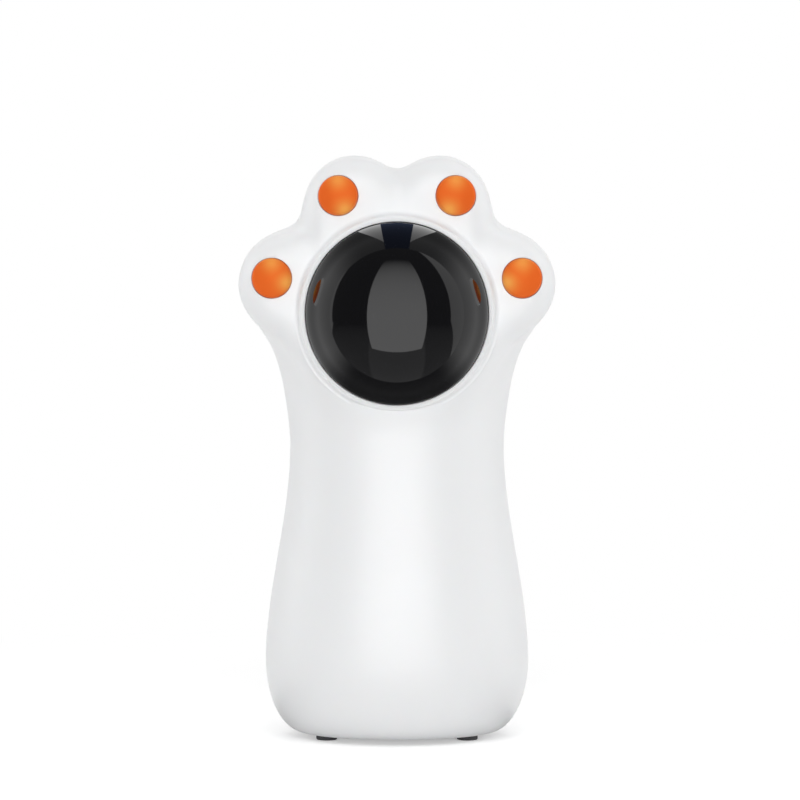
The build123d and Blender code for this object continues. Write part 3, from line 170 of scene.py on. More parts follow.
@dataclass(frozen=True)
class Finish:
    """One real material and how its surface was made.

    Attributes:
        name: material name, with its process.
        slot: the record's material slot; not used.
        colour: sRGB hex colour.
        tone: second sRGB hex colour, which the first drifts towards in patches.
        roughness: middle roughness.
        swing: how far the roughness drifts either way.
        metallic: 1 for a metal.
        ior: refractive index, left alone on a metal.
        grain: kind of relief.
        grain_mm: spacing of the relief.
        relief: strength of the relief, from 0 to 1.
        coat: weight of a clear top coat.
        coat_roughness: roughness of that coat.
        sheen_tint: sRGB hex colour of the gloss seen straight on.
        highlight_colour: sRGB hex colour of a painted highlight, read from the piece's own
            attribute.
        transmission: share of light let through.
        subsurface: weight of light spread under the surface.
        axis: direction in which drawn marks or rings follow each other.
    """

    name: str
    slot: str
    colour: str
    tone: str
    roughness: float
    swing: float = 0.03
    metallic: float = 0.0
    ior: float = 1.5
    grain: Grain = Grain.SPARKED
    grain_mm: float = 0.4
    relief: float = 0.1
    coat: float = 0.0
    coat_roughness: float = 0.06
    sheen_tint: str = "#FFFFFF"
    highlight_colour: str = ""
    transmission: float = 0.0
    subsurface: float = 0.0
    axis: str = "Z"

    def material(self) -> Material:
        """Build the node material.

        Returns:
            The material, made once and shared after that.
        """
        known = bpy.data.materials.get(self.name)
        if known is not None:
            return known
        made = bpy.data.materials.new(self.name)
        made.use_nodes = True
        made.diffuse_color = linear(self.colour)
        tree = made.node_tree
        tree.nodes.clear()
        out = add_node(tree, "ShaderNodeOutputMaterial")
        shader = add_node(tree, "ShaderNodeBsdfPrincipled", {
            "Metallic": self.metallic, "Coat Weight": self.coat,
            "Coat Roughness": self.coat_roughness, "Specular Tint": linear(self.sheen_tint),
            "Transmission Weight": self.transmission, "Subsurface Weight": self.subsurface,
            "Subsurface Radius": SPREAD, "Subsurface Scale": SPREAD_MM * MM})
        if not self.metallic:
            shader.inputs["IOR"].default_value = self.ior
        place = add_node(tree, "ShaderNodeTexCoord").outputs["Object"]
        self._colour(tree, place, shader)
        self._roughness(tree, place, shader)
        self._relief(tree, place, shader)
        tree.links.new(shader.outputs["BSDF"], out.inputs["Surface"])
        return made

    def _colour(self, tree: Tree, place: Socket, shader: Node) -> None:
        """Drift between the two colours in soft patches, or between board and tracks."""
        if self.grain is Grain.MASKED:
            share = self._tracks(tree, place)
        else:
            share = add_node(tree, "ShaderNodeTexNoise", {
                "Vector": place, "Scale": 1 / (PATCH_MM * MM), "Detail": 3.0,
                "Roughness": 0.5}).outputs["Fac"]
        mix = add_node(tree, "ShaderNodeMix", {
            "0": share, "6": linear(self.colour), "7": linear(self.tone)}, data_type="RGBA")
        # Painted highlight: drift towards its colour where the piece's attribute marks it.
        if self.highlight_colour:
            highlight_share = add_node(tree, "ShaderNodeAttribute", attribute_name=PAINTED_HIGHLIGHT)
            mix = add_node(tree, "ShaderNodeMix", {
                "0": highlight_share.outputs["Fac"], "6": mix.outputs[2], "7": linear(self.highlight_colour)},
                data_type="RGBA")
        tree.links.new(mix.outputs[2], shader.inputs["Base Color"])

    def _roughness(self, tree: Tree, place: Socket, shader: Node) -> None:
        """Drift of gloss from handling and mould wear, in patches."""
        wear = add_node(tree, "ShaderNodeTexNoise", {
            "Vector": place, "Scale": 1 / (WEAR_MM * MM), "Detail": 4.0})
        levels = (*WEAR_SPAN, max(self.roughness - self.swing, 0.01), self.roughness + self.swing)
        spread = add_node(tree, "ShaderNodeMapRange", {
            "Value": wear.outputs["Fac"], **dict(zip(RANGE, levels))})
        tree.links.new(spread.outputs["Result"], shader.inputs["Roughness"])

    @staticmethod
    def _tracks(tree: Tree, place: Socket) -> Socket:
        """Copper tracks under lacquer: narrow bands in the cells of a crooked raster."""
        raster = add_node(tree, "ShaderNodeTexVoronoi", {
            "Vector": place, "Scale": 1 / (RASTER_MM * MM), "Randomness": RASTER_DISORDER},
            distance="MANHATTAN", feature="F1")
        edge = add_node(tree, "ShaderNodeMath", {
            "0": raster.outputs["Distance"], "1": TRACK_BANDS}, operation="MULTIPLY")
        band = add_node(tree, "ShaderNodeMath", {"0": edge.outputs[0], "1": 1.0},
                        operation="PINGPONG")
        sharp = add_node(tree, "ShaderNodeMapRange", {
            "Value": band.outputs[0], **dict(zip(RANGE, TRACK_EDGE))})
        return sharp.outputs["Result"]

    def _relief(self, tree: Tree, place: Socket, shader: Node) -> None:
        """Bump that the making process leaves."""
        if self.grain is Grain.MASKED:
            height = self._tracks(tree, place)
        elif self.grain is Grain.DRAWN:
            height = add_node(tree, "ShaderNodeTexWave", {
                "Vector": place, "Scale": 1 / (WAVE_RUN * self.grain_mm * MM),
                "Distortion": 0.6, "Detail": 2.0}, bands_direction=self.axis).outputs["Fac"]
        else:
            spacing = self.grain_mm * (CAST_SPREAD if self.grain is Grain.CAST else 1.0)
            height = add_node(tree, "ShaderNodeTexNoise", {
                "Vector": place, "Scale": 1 / (spacing * MM),
                "Detail": 0.0 if self.grain is Grain.POLISHED else 2.0}).outputs["Fac"]
        bump = add_node(tree, "ShaderNodeBump", {
            "Height": height, "Strength": self.relief,
            "Distance": BUMP_SHARE * MM * max(self.grain_mm, BUMP_LEAST_MM)})
        tree.links.new(bump.outputs["Normal"], shader.inputs["Normal"])


# Satin ABS from a spark-eroded mould: soft broad sheen, no mirror image.
WHITE_SHELL = Finish("satin_abs_white_moulded", "white_abs", "#F3F4F5", "#F1F2F3", 0.44, 0.03,
                     ior=1.55, grain_mm=0.5, relief=0.05, coat=1.0, coat_roughness=0.42,
                     subsurface=0.05)
# Tinted acrylic from a polished mould: mirror-like, near black.
DOME_TINT = Finish("tinted_acrylic_polished", "tinted_dome", "#060608", "#08080B", 0.05, 0.01,
                   ior=1.49, grain=Grain.POLISHED, grain_mm=18.0, relief=0.02)
# Satin ABS in orange, slightly translucent: deep in the middle, with a painted amber highlight at
# the upper edge and on the side towards the dome.
ORANGE_PAD = Finish("satin_abs_orange_moulded", "orange_bean", "#EC6A28", "#E96526", 0.34, 0.03,
                    grain_mm=0.35, relief=0.06, sheen_tint="#FFB060", highlight_colour="#F6A650",
                    subsurface=0.08)
# Moulded rubber: dull, with a soft uneven skin.
FOOT_RUBBER = Finish("rubber_grey_moulded", "grey_rubber", "#565658", "#4E4E50", 0.72, 0.06,
                     grain=Grain.CAST, grain_mm=0.5, relief=0.25)
# Black ABS with a coarser mould texture, for pieces that are out of sight.
BLACK_FRAME = Finish("abs_black_moulded", "black_abs", "#232325", "#1D1D1F", 0.5, 0.05, ior=1.53,
                     grain_mm=0.3, relief=0.2)
# Natural acetal: waxy, slightly translucent white.
GEAR_ACETAL = Finish("acetal_natural_moulded", "acetal", "#EDEBE4", "#E7E4DB", 0.35, 0.04,
                     ior=1.48, grain_mm=0.3, relief=0.08, subsurface=0.2)
# Zinc-plated steel screws and clips: bluish bright metal with a fine uneven skin.
PLATED_STEEL = Finish("steel_zinc_plated", "steel", "#BFC3C9", "#AEB2B9", 0.3, 0.06,
                      metallic=1.0, grain=Grain.CAST, grain_mm=0.15, relief=0.2)
# Deep-drawn steel motor can: long vertical marks.
DRAWN_CAN = Finish("steel_can_drawn", "motor_can", "#C9CACC", "#BDBEC1", 0.28, 0.05,
                   metallic=1.0, grain=Grain.DRAWN, grain_mm=0.12, relief=0.12, axis="X")
# Turned brass: fine rings round the barrel's axis.
TURNED_BRASS = Finish("brass_turned", "brass", "#D9B66A", "#CFA95C", 0.22, 0.04,
                      metallic=1.0, grain=Grain.DRAWN, grain_mm=0.12, relief=0.2, axis="Y")
# Moulded lens: clear and fully smooth.
LENS_CLEAR = Finish("lens_clear_moulded", "lens_glass", "#F6F9FC", "#F3F7FB", 0.02, 0.005,
                    ior=1.49, grain=Grain.POLISHED, grain_mm=4.0, relief=0.01, transmission=1.0)
# Clear polycarbonate light pipe: bright, with a faint haze.
PIPE_CLEAR = Finish("polycarbonate_clear_moulded", "clear_pipe", "#EEF2F5", "#E9EEF2", 0.12, 0.02,
                    ior=1.58, grain=Grain.POLISHED, grain_mm=1.0, relief=0.05, transmission=0.75)
# Solder mask over copper tracks on glass-epoxy.
BOARD_MASK = Finish("glass_epoxy_solder_masked", "board_green", "#0E4A24", "#186334", 0.3, 0.04,
                    grain=Grain.MASKED, grain_mm=1.0, relief=0.3)
# Moulded epoxy chip packages: matte, faintly gritty.
CHIP_EPOXY = Finish("epoxy_black_moulded", "chip_black", "#1E1E20", "#252527", 0.6, 0.05,
                    grain=Grain.CAST, grain_mm=0.1, relief=0.3)
# Moulded nylon connectors, slightly warm white.
PLUG_NYLON = Finish("nylon_natural_moulded", "connector_white", "#EDE9DE", "#E6E1D3", 0.42, 0.04,
                    grain_mm=0.2, relief=0.08, subsurface=0.1)
# Shrink film on the cell: glossy, with long faint ripples.
CELL_FILM = Finish("pvc_film_shrunk", "cell_wrap", "#2F63A5", "#2A5A98", 0.2, 0.04, ior=1.54,
                   grain=Grain.POLISHED, grain_mm=6.0, relief=0.15, coat=0.4)
# PVC-insulated wire: soft gloss.
LEAD_SLEEVE = Finish("pvc_red_extruded", "lead_pvc", "#B0201C", "#A51B18", 0.35, 0.04, ior=1.54,
                     grain=Grain.POLISHED, grain_mm=2.0, relief=0.08)


# ======== Modelling helpers =============================================================

def clear_selection() -> None:
    """Leave edit mode and deselect everything."""
    if bpy.context.object is not None and bpy.context.object.mode != "OBJECT":
        bpy.ops.object.mode_set(mode="OBJECT")
    bpy.ops.object.select_all(action="DESELECT")


def make_active(piece: Piece) -> None:
    """Select one piece alone and make it the active one."""
    clear_selection()
    piece.select_set(True)
    bpy.context.view_layer.objects.active = piece


def apply_all(piece: Piece) -> None:
    """Apply every modifier of a piece, in order."""
    make_active(piece)
    for modifier in list(piece.modifiers):
        bpy.ops.object.modifier_apply(modifier=modifier.name)


def rest_at_origin(piece: Piece) -> None:
    """Put a piece's place, turn and scale into its mesh."""
    make_active(piece)
    bpy.ops.object.transform_apply(location=True, rotation=True, scale=True)


def smooth(piece: Piece, angle: float = 32.0) -> None:
    """Shade a piece smooth, apart from edges sharper than the angle in degrees."""
    make_active(piece)
    bpy.ops.object.shade_smooth_by_angle(angle=math.radians(angle))


def tidy_mesh(piece: Piece) -> None:
    """Merge doubled points and turn all faces outwards."""
    make_active(piece)
    bpy.ops.object.mode_set(mode="EDIT")
    bpy.ops.mesh.select_all(action="SELECT")
    bpy.ops.mesh.remove_doubles(threshold=MERGE_MM * MM)
    bpy.ops.mesh.normals_make_consistent(inside=False)
    bpy.ops.object.mode_set(mode="OBJECT")


def heading_matrix(origin: Point, heading: Point) -> Matrix:
    """Placement whose +Z looks along a heading.

    Args:
        origin: point in millimetres.
        heading: direction of the new +Z.

    Returns:
        The placement in metres.
    """
    turn = Vector(heading).normalized().to_track_quat("Z", "Y").to_matrix().to_4x4()
    return Matrix.Translation(Vector(origin) * MM) @ turn


def arc(centre: tuple[float, float], radius: float, start: float, end: float,
        steps: int) -> list[tuple[float, float]]:
    """Points of an arc in a turned outline.

    Args:
        centre: radius and height of the arc's centre.
        radius: the arc's own radius.
        start: first angle in degrees, from outwards towards up.
        end: last angle in degrees.
        steps: how many runs the arc has.

    Returns:
        Points as radius and height.
    """
    angles = [math.radians(start + (end - start) * i / steps) for i in range(steps + 1)]
    return [(centre[0] + radius * math.cos(a), centre[1] + radius * math.sin(a)) for a in angles]


def spun(name: str, outline: Sequence[tuple[float, float]], origin: Point, heading: Point,
         steps: int = PLAIN_TURN, ring: bool = False) -> Piece:
    """Turn an outline round a heading with the spin operator.

    Args:
        name: name of the new piece.
        outline: points as radius and height along the heading, in millimetres.
        origin: zero height on the axis, in millimetres.
        heading: direction of growing height.
        steps: how many segments go round.
        ring: True where the outline is closed and stays off the axis.

    Returns:
        The turned piece, with its place in its mesh.
    """
    clear_selection()
    bpy.ops.mesh.primitive_circle_add(vertices=len(outline), radius=MM, location=(0, 0, 0))
    piece = bpy.context.object
    piece.name = piece.data.name = name
    mesh = piece.data
    for vertex, (radius, height) in zip(mesh.vertices, outline):
        vertex.co = (radius * MM, 0, height * MM)
    if not ring:
        ends = (0, len(outline) - 1)
        for edge in mesh.edges:
            edge.select = set(edge.vertices) == set(ends)
        for vertex in mesh.vertices:
            vertex.select = vertex.index in ends
        bpy.ops.object.mode_set(mode="EDIT")
        bpy.ops.mesh.select_mode(type="EDGE")
        bpy.ops.mesh.delete(type="EDGE")
        bpy.ops.object.mode_set(mode="OBJECT")
    bpy.ops.object.mode_set(mode="EDIT")
    bpy.ops.mesh.select_mode(type="VERT")
    bpy.ops.mesh.select_all(action="SELECT")
    bpy.ops.mesh.spin(steps=steps, angle=2 * math.pi, center=(0, 0, 0), axis=(0, 0, 1))
    bpy.ops.object.mode_set(mode="OBJECT")
    mesh.transform(heading_matrix(origin, heading))
    tidy_mesh(piece)
    return piece


def bar(radius: float, origin: Point, heading: Point, low: float, high: float,
        steps: int = BAR_TURN) -> Piece:
    """Round bar between two heights along a heading, used to cut."""
    outline = [(0, low), (radius, low), (radius, high), (0, high)]
    return spun("bar", outline, origin, heading, steps)


def joined(parts: Sequence[Piece], name: str) -> Piece:
    """Join several meshes into one piece.

    Args:
        parts: pieces to join; the first one stays.
        name: name of the result.

    Returns:
        The joined piece.
    """
    clear_selection()
    for part in parts:
        part.select_set(True)
    bpy.context.view_layer.objects.active = parts[0]
    bpy.ops.object.join()
    piece = bpy.context.object
    piece.name = piece.data.name = name
    return piece


def cut(piece: Piece, cutters: Sequence[Piece]) -> None:
    """Take the cutters' space out of a piece and remove the cutters.

    Args:
        piece: closed mesh that is cut.
        cutters: closed meshes; they may touch each other.
    """
    for index, cutter in enumerate(cutters):
        tool = piece.modifiers.new(f"cut_{index}", "BOOLEAN")
        tool.operation = "DIFFERENCE"
        tool.solver = "EXACT"
        tool.object = cutter
    apply_all(piece)
    for cutter in cutters:
        bpy.data.objects.remove(cutter, do_unlink=True)


def dress(piece: Piece, finish: Finish) -> None:
    """Give a piece its material, linked to the object in each of its slots."""
    made = finish.material()
    if not piece.material_slots:
        piece.data.materials.append(made)
    for entry in piece.material_slots:
        entry.link = "OBJECT"
        entry.material = made


def seated(piece: Piece, body: str, finish: Finish, node: str) -> None:
    """Move a finished piece to the column's place, dress it and let it ride on its body.

    Args:
        piece: finished mesh, built about the column's middle.
        body: name of the moving or fixed body.
        finish: material.
        node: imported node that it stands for.
    """
    piece.data.transform(Matrix.Translation((0, COLUMN_Y * MM, 0)))
    dress(piece, finish)
    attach(piece, body)
    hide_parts(node)
    LOG.info("%s: %d points, rides on %s", piece.name, len(piece.data.vertices), body)


def node_box(node: str) -> tuple[np.ndarray, np.ndarray]:
    """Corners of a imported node's box, in millimetres from the column's middle."""
    low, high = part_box(node)
    shift = np.array((0.0, COLUMN_Y, 0.0))
    return np.array(low) / MM - shift, np.array(high) / MM - shift


def node_centre(node: str) -> np.ndarray:
    """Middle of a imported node's box, in millimetres from the column's middle."""
    low, high = node_box(node)
    return (low + high) / 2


# ======== The paw's skin ================================================================

@dataclass(frozen=True)
class Toe:
    """Tapered, round-ended toe in front view.

    Attributes:
        tip: its outer end, as x and height over the head's middle.
        tip_radius: half its width at that end.
        root: its inner end.
        root_radius: half its width there.
    """

    tip: tuple[float, float]
    tip_radius: float
    root: tuple[float, float]
    root_radius: float


@dataclass(frozen=True)
class PawSkin:
    """Distance formula of the paw's outer skin, in millimetres from the column's middle.

    Attributes:
        dome_z: height of the dome's middle.
    """

    dome_z: float
    # Column and head: heights and half-widths of foot, belly, waist and head, the head's rise
    # and half-depth, and the column's depth as a share of its width.
    stand: float = 1.6
    flat_half: float = 24.0
    belly_z: float = 20.0
    belly_half: float = 33.7
    waist_z: float = 75.0
    waist_half: float = 27.4
    head_half: float = 31.0
    head_rise: float = 29.5
    head_depth: float = 21.0
    oval: float = 0.90
    # Pad of toes and dome surround: its outline, faces, rounded edges and blends.
    dome_above_head: float = 3.7
    surround_radius: float = 28.5
    pad_front: float = -24.0
    pad_back: float = 14.0
    front_round: float = 7.0
    back_round: float = 14.0
    toe_blend: float = 4.9
    surround_blend: float = 12.0
    pad_blend: float = 7.0
    inner_toe: Toe = Toe((11.0, 30.0), 12.5, (5.6, 9.4), 10.3)
    outer_toe: Toe = Toe((28.1, 10.6), 12.2, (13.7, 4.5), 7.6)
    # How often a ray's reach is halved.
    halvings: int = 36

    @property
    def head_z(self) -> float:
        """Height of the head's widest level."""
        return self.dome_z - self.dome_above_head

    @property
    def pad_middle(self) -> float:
        """Place of the pad's middle, front to back."""
        return (self.pad_front + self.pad_back) / 2

    @staticmethod
    def ease(share: np.ndarray) -> np.ndarray:
        """Smooth step from 0 to 1."""
        share = np.clip(share, 0.0, 1.0)
        return share * share * (3 - 2 * share)

    @staticmethod
    def soft_min(first: np.ndarray, second: np.ndarray, width: float) -> np.ndarray:
        """Smaller of two distances, blended over the given width."""
        near = np.maximum(width - np.abs(first - second), 0.0) / width
        return np.minimum(first, second) - near * near * width / 4

    def headward(self, z: np.ndarray) -> np.ndarray:
        """Share of the way from the waist to the head, eased."""
        return self.ease((z - self.waist_z) / (self.head_z - self.waist_z))

    def half_width(self, z: np.ndarray) -> np.ndarray:
        """Half-width of the column and head at a height."""
        share = np.clip((self.belly_z - z) / (self.belly_z - self.stand), 0.0, 1.0)
        foot = self.flat_half + (self.belly_half - self.flat_half) * np.sqrt(1 - share * share)
        waist = self.ease((z - self.belly_z) / (self.waist_z - self.belly_z))
        column = self.belly_half + (self.waist_half - self.belly_half) * waist
        column = column + (self.head_half - self.waist_half) * self.headward(z)
        return np.where(z <= self.belly_z, foot, column)

    def core(self, x: np.ndarray, y: np.ndarray, z: np.ndarray) -> np.ndarray:
        """Distance to the column and its rounded head."""
        half = self.half_width(z)
        deeper = (self.head_depth - self.head_half * self.oval) * self.headward(z)
        depth = half * self.oval + deeper
        rise = np.maximum(z - self.head_z, 0.0) / self.head_rise
        return (np.sqrt((x / half) ** 2 + (y / depth) ** 2 + rise ** 2) - 1) * depth

    def toe(self, x: np.ndarray, z: np.ndarray, toe: Toe) -> np.ndarray:
        """Distance in front view to one toe."""
        run_x, run_z = toe.root[0] - toe.tip[0], toe.root[1] - toe.tip[1]
        off_x, off_z = x - toe.tip[0], z - self.head_z - toe.tip[1]
        along = np.clip((off_x * run_x + off_z * run_z) / (run_x ** 2 + run_z ** 2), 0.0, 1.0)
        radius = toe.tip_radius + along * (toe.root_radius - toe.tip_radius)
        return np.hypot(off_x - along * run_x, off_z - along * run_z) - radius

    def outline(self, x: np.ndarray, z: np.ndarray) -> np.ndarray:
        """Distance in front view to the outline of the toes and the dome's surround."""
        pair = self.soft_min(self.toe(x, z, self.inner_toe), self.toe(-x, z, self.inner_toe),
                             self.toe_blend)
        toes = self.soft_min(pair, self.toe(x, z, self.outer_toe), self.toe_blend)
        surround = np.hypot(x, z - self.dome_z) - self.surround_radius
        return self.soft_min(toes, surround, self.surround_blend)

    def pad(self, x: np.ndarray, y: np.ndarray, z: np.ndarray) -> np.ndarray:
        """Distance to the pad of toes and surround, with its flat front and domed back."""
        edge = np.where(y < self.pad_middle, self.front_round, self.back_round)
        radial = self.outline(x, z) + edge
        axial = np.abs(y - self.pad_middle) - ((self.pad_back - self.pad_front) / 2 - edge)
        outside = np.hypot(np.maximum(radial, 0.0), np.maximum(axial, 0.0))
        return outside + np.minimum(np.maximum(radial, axial), 0.0) - edge

    def distance(self, points: np.ndarray) -> np.ndarray:
        """Distance from points to the skin, negative inside.

        Args:
            points: array whose last axis holds x, y and z.

        Returns:
            One distance for each point.
        """
        x, y, z = np.abs(points[..., 0]), points[..., 1], points[..., 2]
        return self.soft_min(self.core(x, y, z), self.pad(x, y, z), self.pad_blend)

    def reach(self, starts: np.ndarray, headings: np.ndarray, inset: np.ndarray) -> np.ndarray:
        """Points where rays from inside meet the skin, or a surface inside it.

        Args:
            starts: start points inside the paw.
            headings: unit directions.
            inset: depth of the wanted surface under the skin, one for each ray.

        Returns:
            The points met.
        """
        near = np.zeros(starts.shape[:-1])
        far = np.full(starts.shape[:-1], 2 * (self.belly_half + self.head_half))
        for _ in range(self.halvings):
            middle = (near + far) / 2
            inside = self.distance(starts + headings * middle[..., None]) < -inset
            near = np.where(inside, middle, near)
            far = np.where(inside, far, middle)
        return starts + headings * near[..., None]

    def point(self, start: Point, heading: Point) -> np.ndarray:
        """Single point where a ray from inside meets the skin."""
        return self.reach(np.array([start], float), np.array([heading], float), np.zeros(1))[0]

    def front_point(self, x: float, z: float) -> np.ndarray:
        """Point of the pad's front at a place in front view."""
        return self.point((x, self.pad_middle, z), (0, -1, 0))

    def facing(self, x: float, z: float, half: float) -> np.ndarray:
        """Outward direction of the front round a place, taken over a half-width each way."""
        across = self.front_point(x + half, z) - self.front_point(x - half, z)
        upward = self.front_point(x, z + half) - self.front_point(x, z - half)
        return np.cross(across, upward)


# ======== Housing =======================================================================

@dataclass
class PawHousing:
    """Front and rear shell of the paw, with dome opening, bean seats, port and screw holes."""

    skin: PawSkin
    # Shell: its wall, the edge round the open foot, and the mesh's columns and rows.
    wall: float = 2.2
    rim: float = 0.9
    half_columns: int = 132
    foot_rows: int = 18
    column_rows: int = 66
    head_rows: int = 62
    # Turns of the first columns of a half, and how far each is drawn in at the parting edge.
    seam_steps: tuple[float, ...] = (0.0, 0.004, 0.009, 0.016, 0.026)
    seam_insets: tuple[float, ...] = (0.30, 0.12, 0.04, 0.01, 0.0)
    # Dome opening: its radius, how much wider the shell is cut under the lip, and where the cut
    # starts and ends ahead of the column's middle.
    opening_radius: float = 23.4
    opening_ease: float = 0.4
    opening_cut: tuple[float, float] = (10.0, 32.0)
    # Lip: its front, width, outer and inner round, gap to the dome, the flare at its foot, how
    # deep that is rooted, and how far back the lip reaches.
    lip_front: float = -26.6
    lip_width: float = 1.4
    lip_round: float = 0.6
    lip_inner_round: float = 0.25
    lip_gap: float = 0.06
    lip_foot: float = 1.2
    lip_root: float = 0.8
    seat_depth: float = 4.4
    # Bean seats: their radius, the cut's depth and rise, and their places off the tips of the
    # toes, outwards and up.
    bean_radius: float = 5.1
    bean_seat_radius: float = 5.22
    bean_seat_cut: tuple[float, float] = (-2.0, 3.0)
    outer_bean_shift: tuple[float, float] = (3.7, 1.9)
    inner_bean_shift: tuple[float, float] = (4.0, 3.5)
    # Port: height, width and height of its hole and recess, the recess's depth, and how far the
    # cuts go inwards and outwards of the back wall.
    port_z: float = 22.0
    port_hole: tuple[float, float] = (9.44, 3.66)
    port_recess: tuple[float, float] = (12.6, 6.8)
    port_recess_depth: float = 1.2
    port_cut: tuple[float, float] = (8.0, 4.0)
    # Holes of button and light, and where these cuts start and end behind the column's middle.
    button_hole: float = 3.95
    light_hole: float = 1.3
    back_cut: tuple[float, float] = (18.0, 40.0)
    # Screw tubes: radii of bore, head and tube, place of the head's seat, and how far a tube
    # ends under the skin.
    screw_bore: float = 1.35
    screw_hole: float = 2.35
    screw_tube: float = 3.3
    screw_seat_y: float = 4.0
    tube_under: float = 0.6
    # Shell screws: distance off the middle, and height over the floor or the dome's middle.
    low_screw: tuple[float, float] = (22.0, 20.0)
    high_screw: tuple[float, float] = (27.0, 2.0)

    def rows(self) -> tuple[np.ndarray, np.ndarray]:
        """Heights and climb angles of the rays, from the foot to the crown.

        Returns:
            Start heights in millimetres and climb angles in radians.
        """
        skin = self.skin
        swing = np.pi / 2 * np.arange(self.foot_rows) / self.foot_rows
        foot = skin.belly_z - (skin.belly_z - skin.stand) * np.cos(swing)
        column = np.linspace(skin.belly_z, skin.head_z, self.column_rows, endpoint=False)
        climbs = np.linspace(0.0, np.pi / 2, self.head_rows)
        heights = np.concatenate((foot, column, np.full(self.head_rows, skin.head_z)))
        return heights, np.concatenate((np.zeros(self.foot_rows + self.column_rows), climbs))

    def turns(self) -> tuple[np.ndarray, np.ndarray]:
        """Turn angles from one parting edge to the other, and how far each is drawn in.

        Returns:
            Angles in radians and insets in millimetres.
        """
        steps = np.array(self.seam_steps)
        inner = np.linspace(steps[-1], np.pi - steps[-1], self.half_columns)[1:-1]
        insets = np.array(self.seam_insets)
        turns = np.concatenate((steps, inner, np.pi - steps[::-1]))
        return turns, np.concatenate((insets, np.zeros(len(inner)), insets[::-1]))

    def half(self, name: str, front: bool) -> Piece:
        """Wrap a grid round half of the paw and give it its wall.

        Args:
            name: name of the piece.
            front: True for the front half.

        Returns:
            Closed half shell with a rounded parting edge.
        """
        heights, climbs = self.rows()
        turns, insets = self.turns()
        turns = turns + np.pi if front else turns
        clear_selection()
        bpy.ops.mesh.primitive_grid_add(x_subdivisions=len(turns) - 1,
                                        y_subdivisions=len(heights), size=MM)
        piece = bpy.context.object
        piece.name = piece.data.name = name
        turn, climb = np.meshgrid(turns, climbs)
        inset, height = np.meshgrid(insets, heights)
        starts = np.stack((np.zeros_like(turn), np.zeros_like(turn), height), -1)
        level = np.cos(climb)
        headings = np.stack((level * np.cos(turn), level * np.sin(turn), np.sin(climb)), -1)
        outer = self.skin.reach(starts, headings, inset)
        open_half = self.skin.flat_half - self.rim
        foot = np.stack((open_half * np.cos(turns), open_half * self.skin.oval * np.sin(turns),
                         np.full(len(turns), self.skin.stand)), -1)
        points = np.concatenate((foot[None], outer)) * MM
        piece.data.vertices.foreach_set("co", points.astype(np.float32).ravel())
        piece.data.update()
        tidy_mesh(piece)
        shell = piece.modifiers.new("wall", "SOLIDIFY")
        shell.thickness = self.wall * MM
        shell.offset = -1.0
        shell.use_even_offset = True
        apply_all(piece)
        return piece

    def stadium(self, size: tuple[float, float], y_from: float, y_to: float) -> Piece:
        """Bar with a stadium outline along Y at the port's height, used to cut."""
        width, height = size
        end = ((width - height) / 2, 0, self.port_z)
        ends = bar(height / 2, end, (0, 1, 0), y_from, y_to)
        middle = (width - height) / 2 * MM
        for vertex in ends.data.vertices:
            if vertex.co.x < middle - HAIR:
                vertex.co.x -= 2 * middle
        ends.data.update()
        return ends

    def bean_seats(self) -> dict[str, tuple[np.ndarray, np.ndarray]]:
        """Seat centre and outward heading of each toe bean, by its side and toe."""
        toes = {"outer": (self.skin.outer_toe, self.outer_bean_shift),
                "inner": (self.skin.inner_toe, self.inner_bean_shift)}
        seats = {}
        for side, sign in (("left", -1), ("right", 1)):
            for name, (toe, shift) in toes.items():
                x = sign * (toe.tip[0] + shift[0])
                z = self.skin.head_z + toe.tip[1] + shift[1]
                heading = self.skin.facing(x, z, self.bean_radius)
                seats[f"{side}_{name}"] = (self.skin.front_point(x, z), heading)
        return seats

    def lip(self) -> Piece:
        """Ring round the dome opening, with a soft front edge and a small flare at its foot."""
        inner = LaserDome.radius + self.lip_gap
        outer = self.opening_radius + self.lip_width
        height = self.skin.pad_front - self.lip_front
        back = height - self.seat_depth
        r, fine, flare = self.lip_round, self.lip_inner_round, self.lip_foot
        outline = [(inner, back), (inner, height - fine)]
        outline += arc((inner + fine, height - fine), fine, 180, 90, ROUND_STEPS)
        outline += arc((outer - r, height - r), r, 90, 0, ROUND_STEPS)
        outline += arc((outer + flare, flare), flare, 180, 270, ROUND_STEPS)
        outline += [(outer + flare, -self.lip_root), (outer, back)]
        origin = (0, self.skin.pad_front, self.skin.dome_z)
        return spun("lip", outline, origin, (0, -1, 0), FINE_TURN, True)

    def build_front(self) -> Piece:
        """Front shell with dome opening, lip and bean seats.

        Returns:
            The finished piece.
        """
        shell = self.half("paw_front", True)
        cutters = [bar(self.opening_radius + self.opening_ease, (0, 0, self.skin.dome_z),
                       (0, -1, 0), *self.opening_cut, FINE_TURN)]
        for seat, heading in self.bean_seats().values():
            cutters.append(bar(self.bean_seat_radius, seat, heading, *self.bean_seat_cut))
        cut(shell, cutters)
        piece = joined([shell, self.lip()], "paw_front")
        smooth(piece)
        return piece

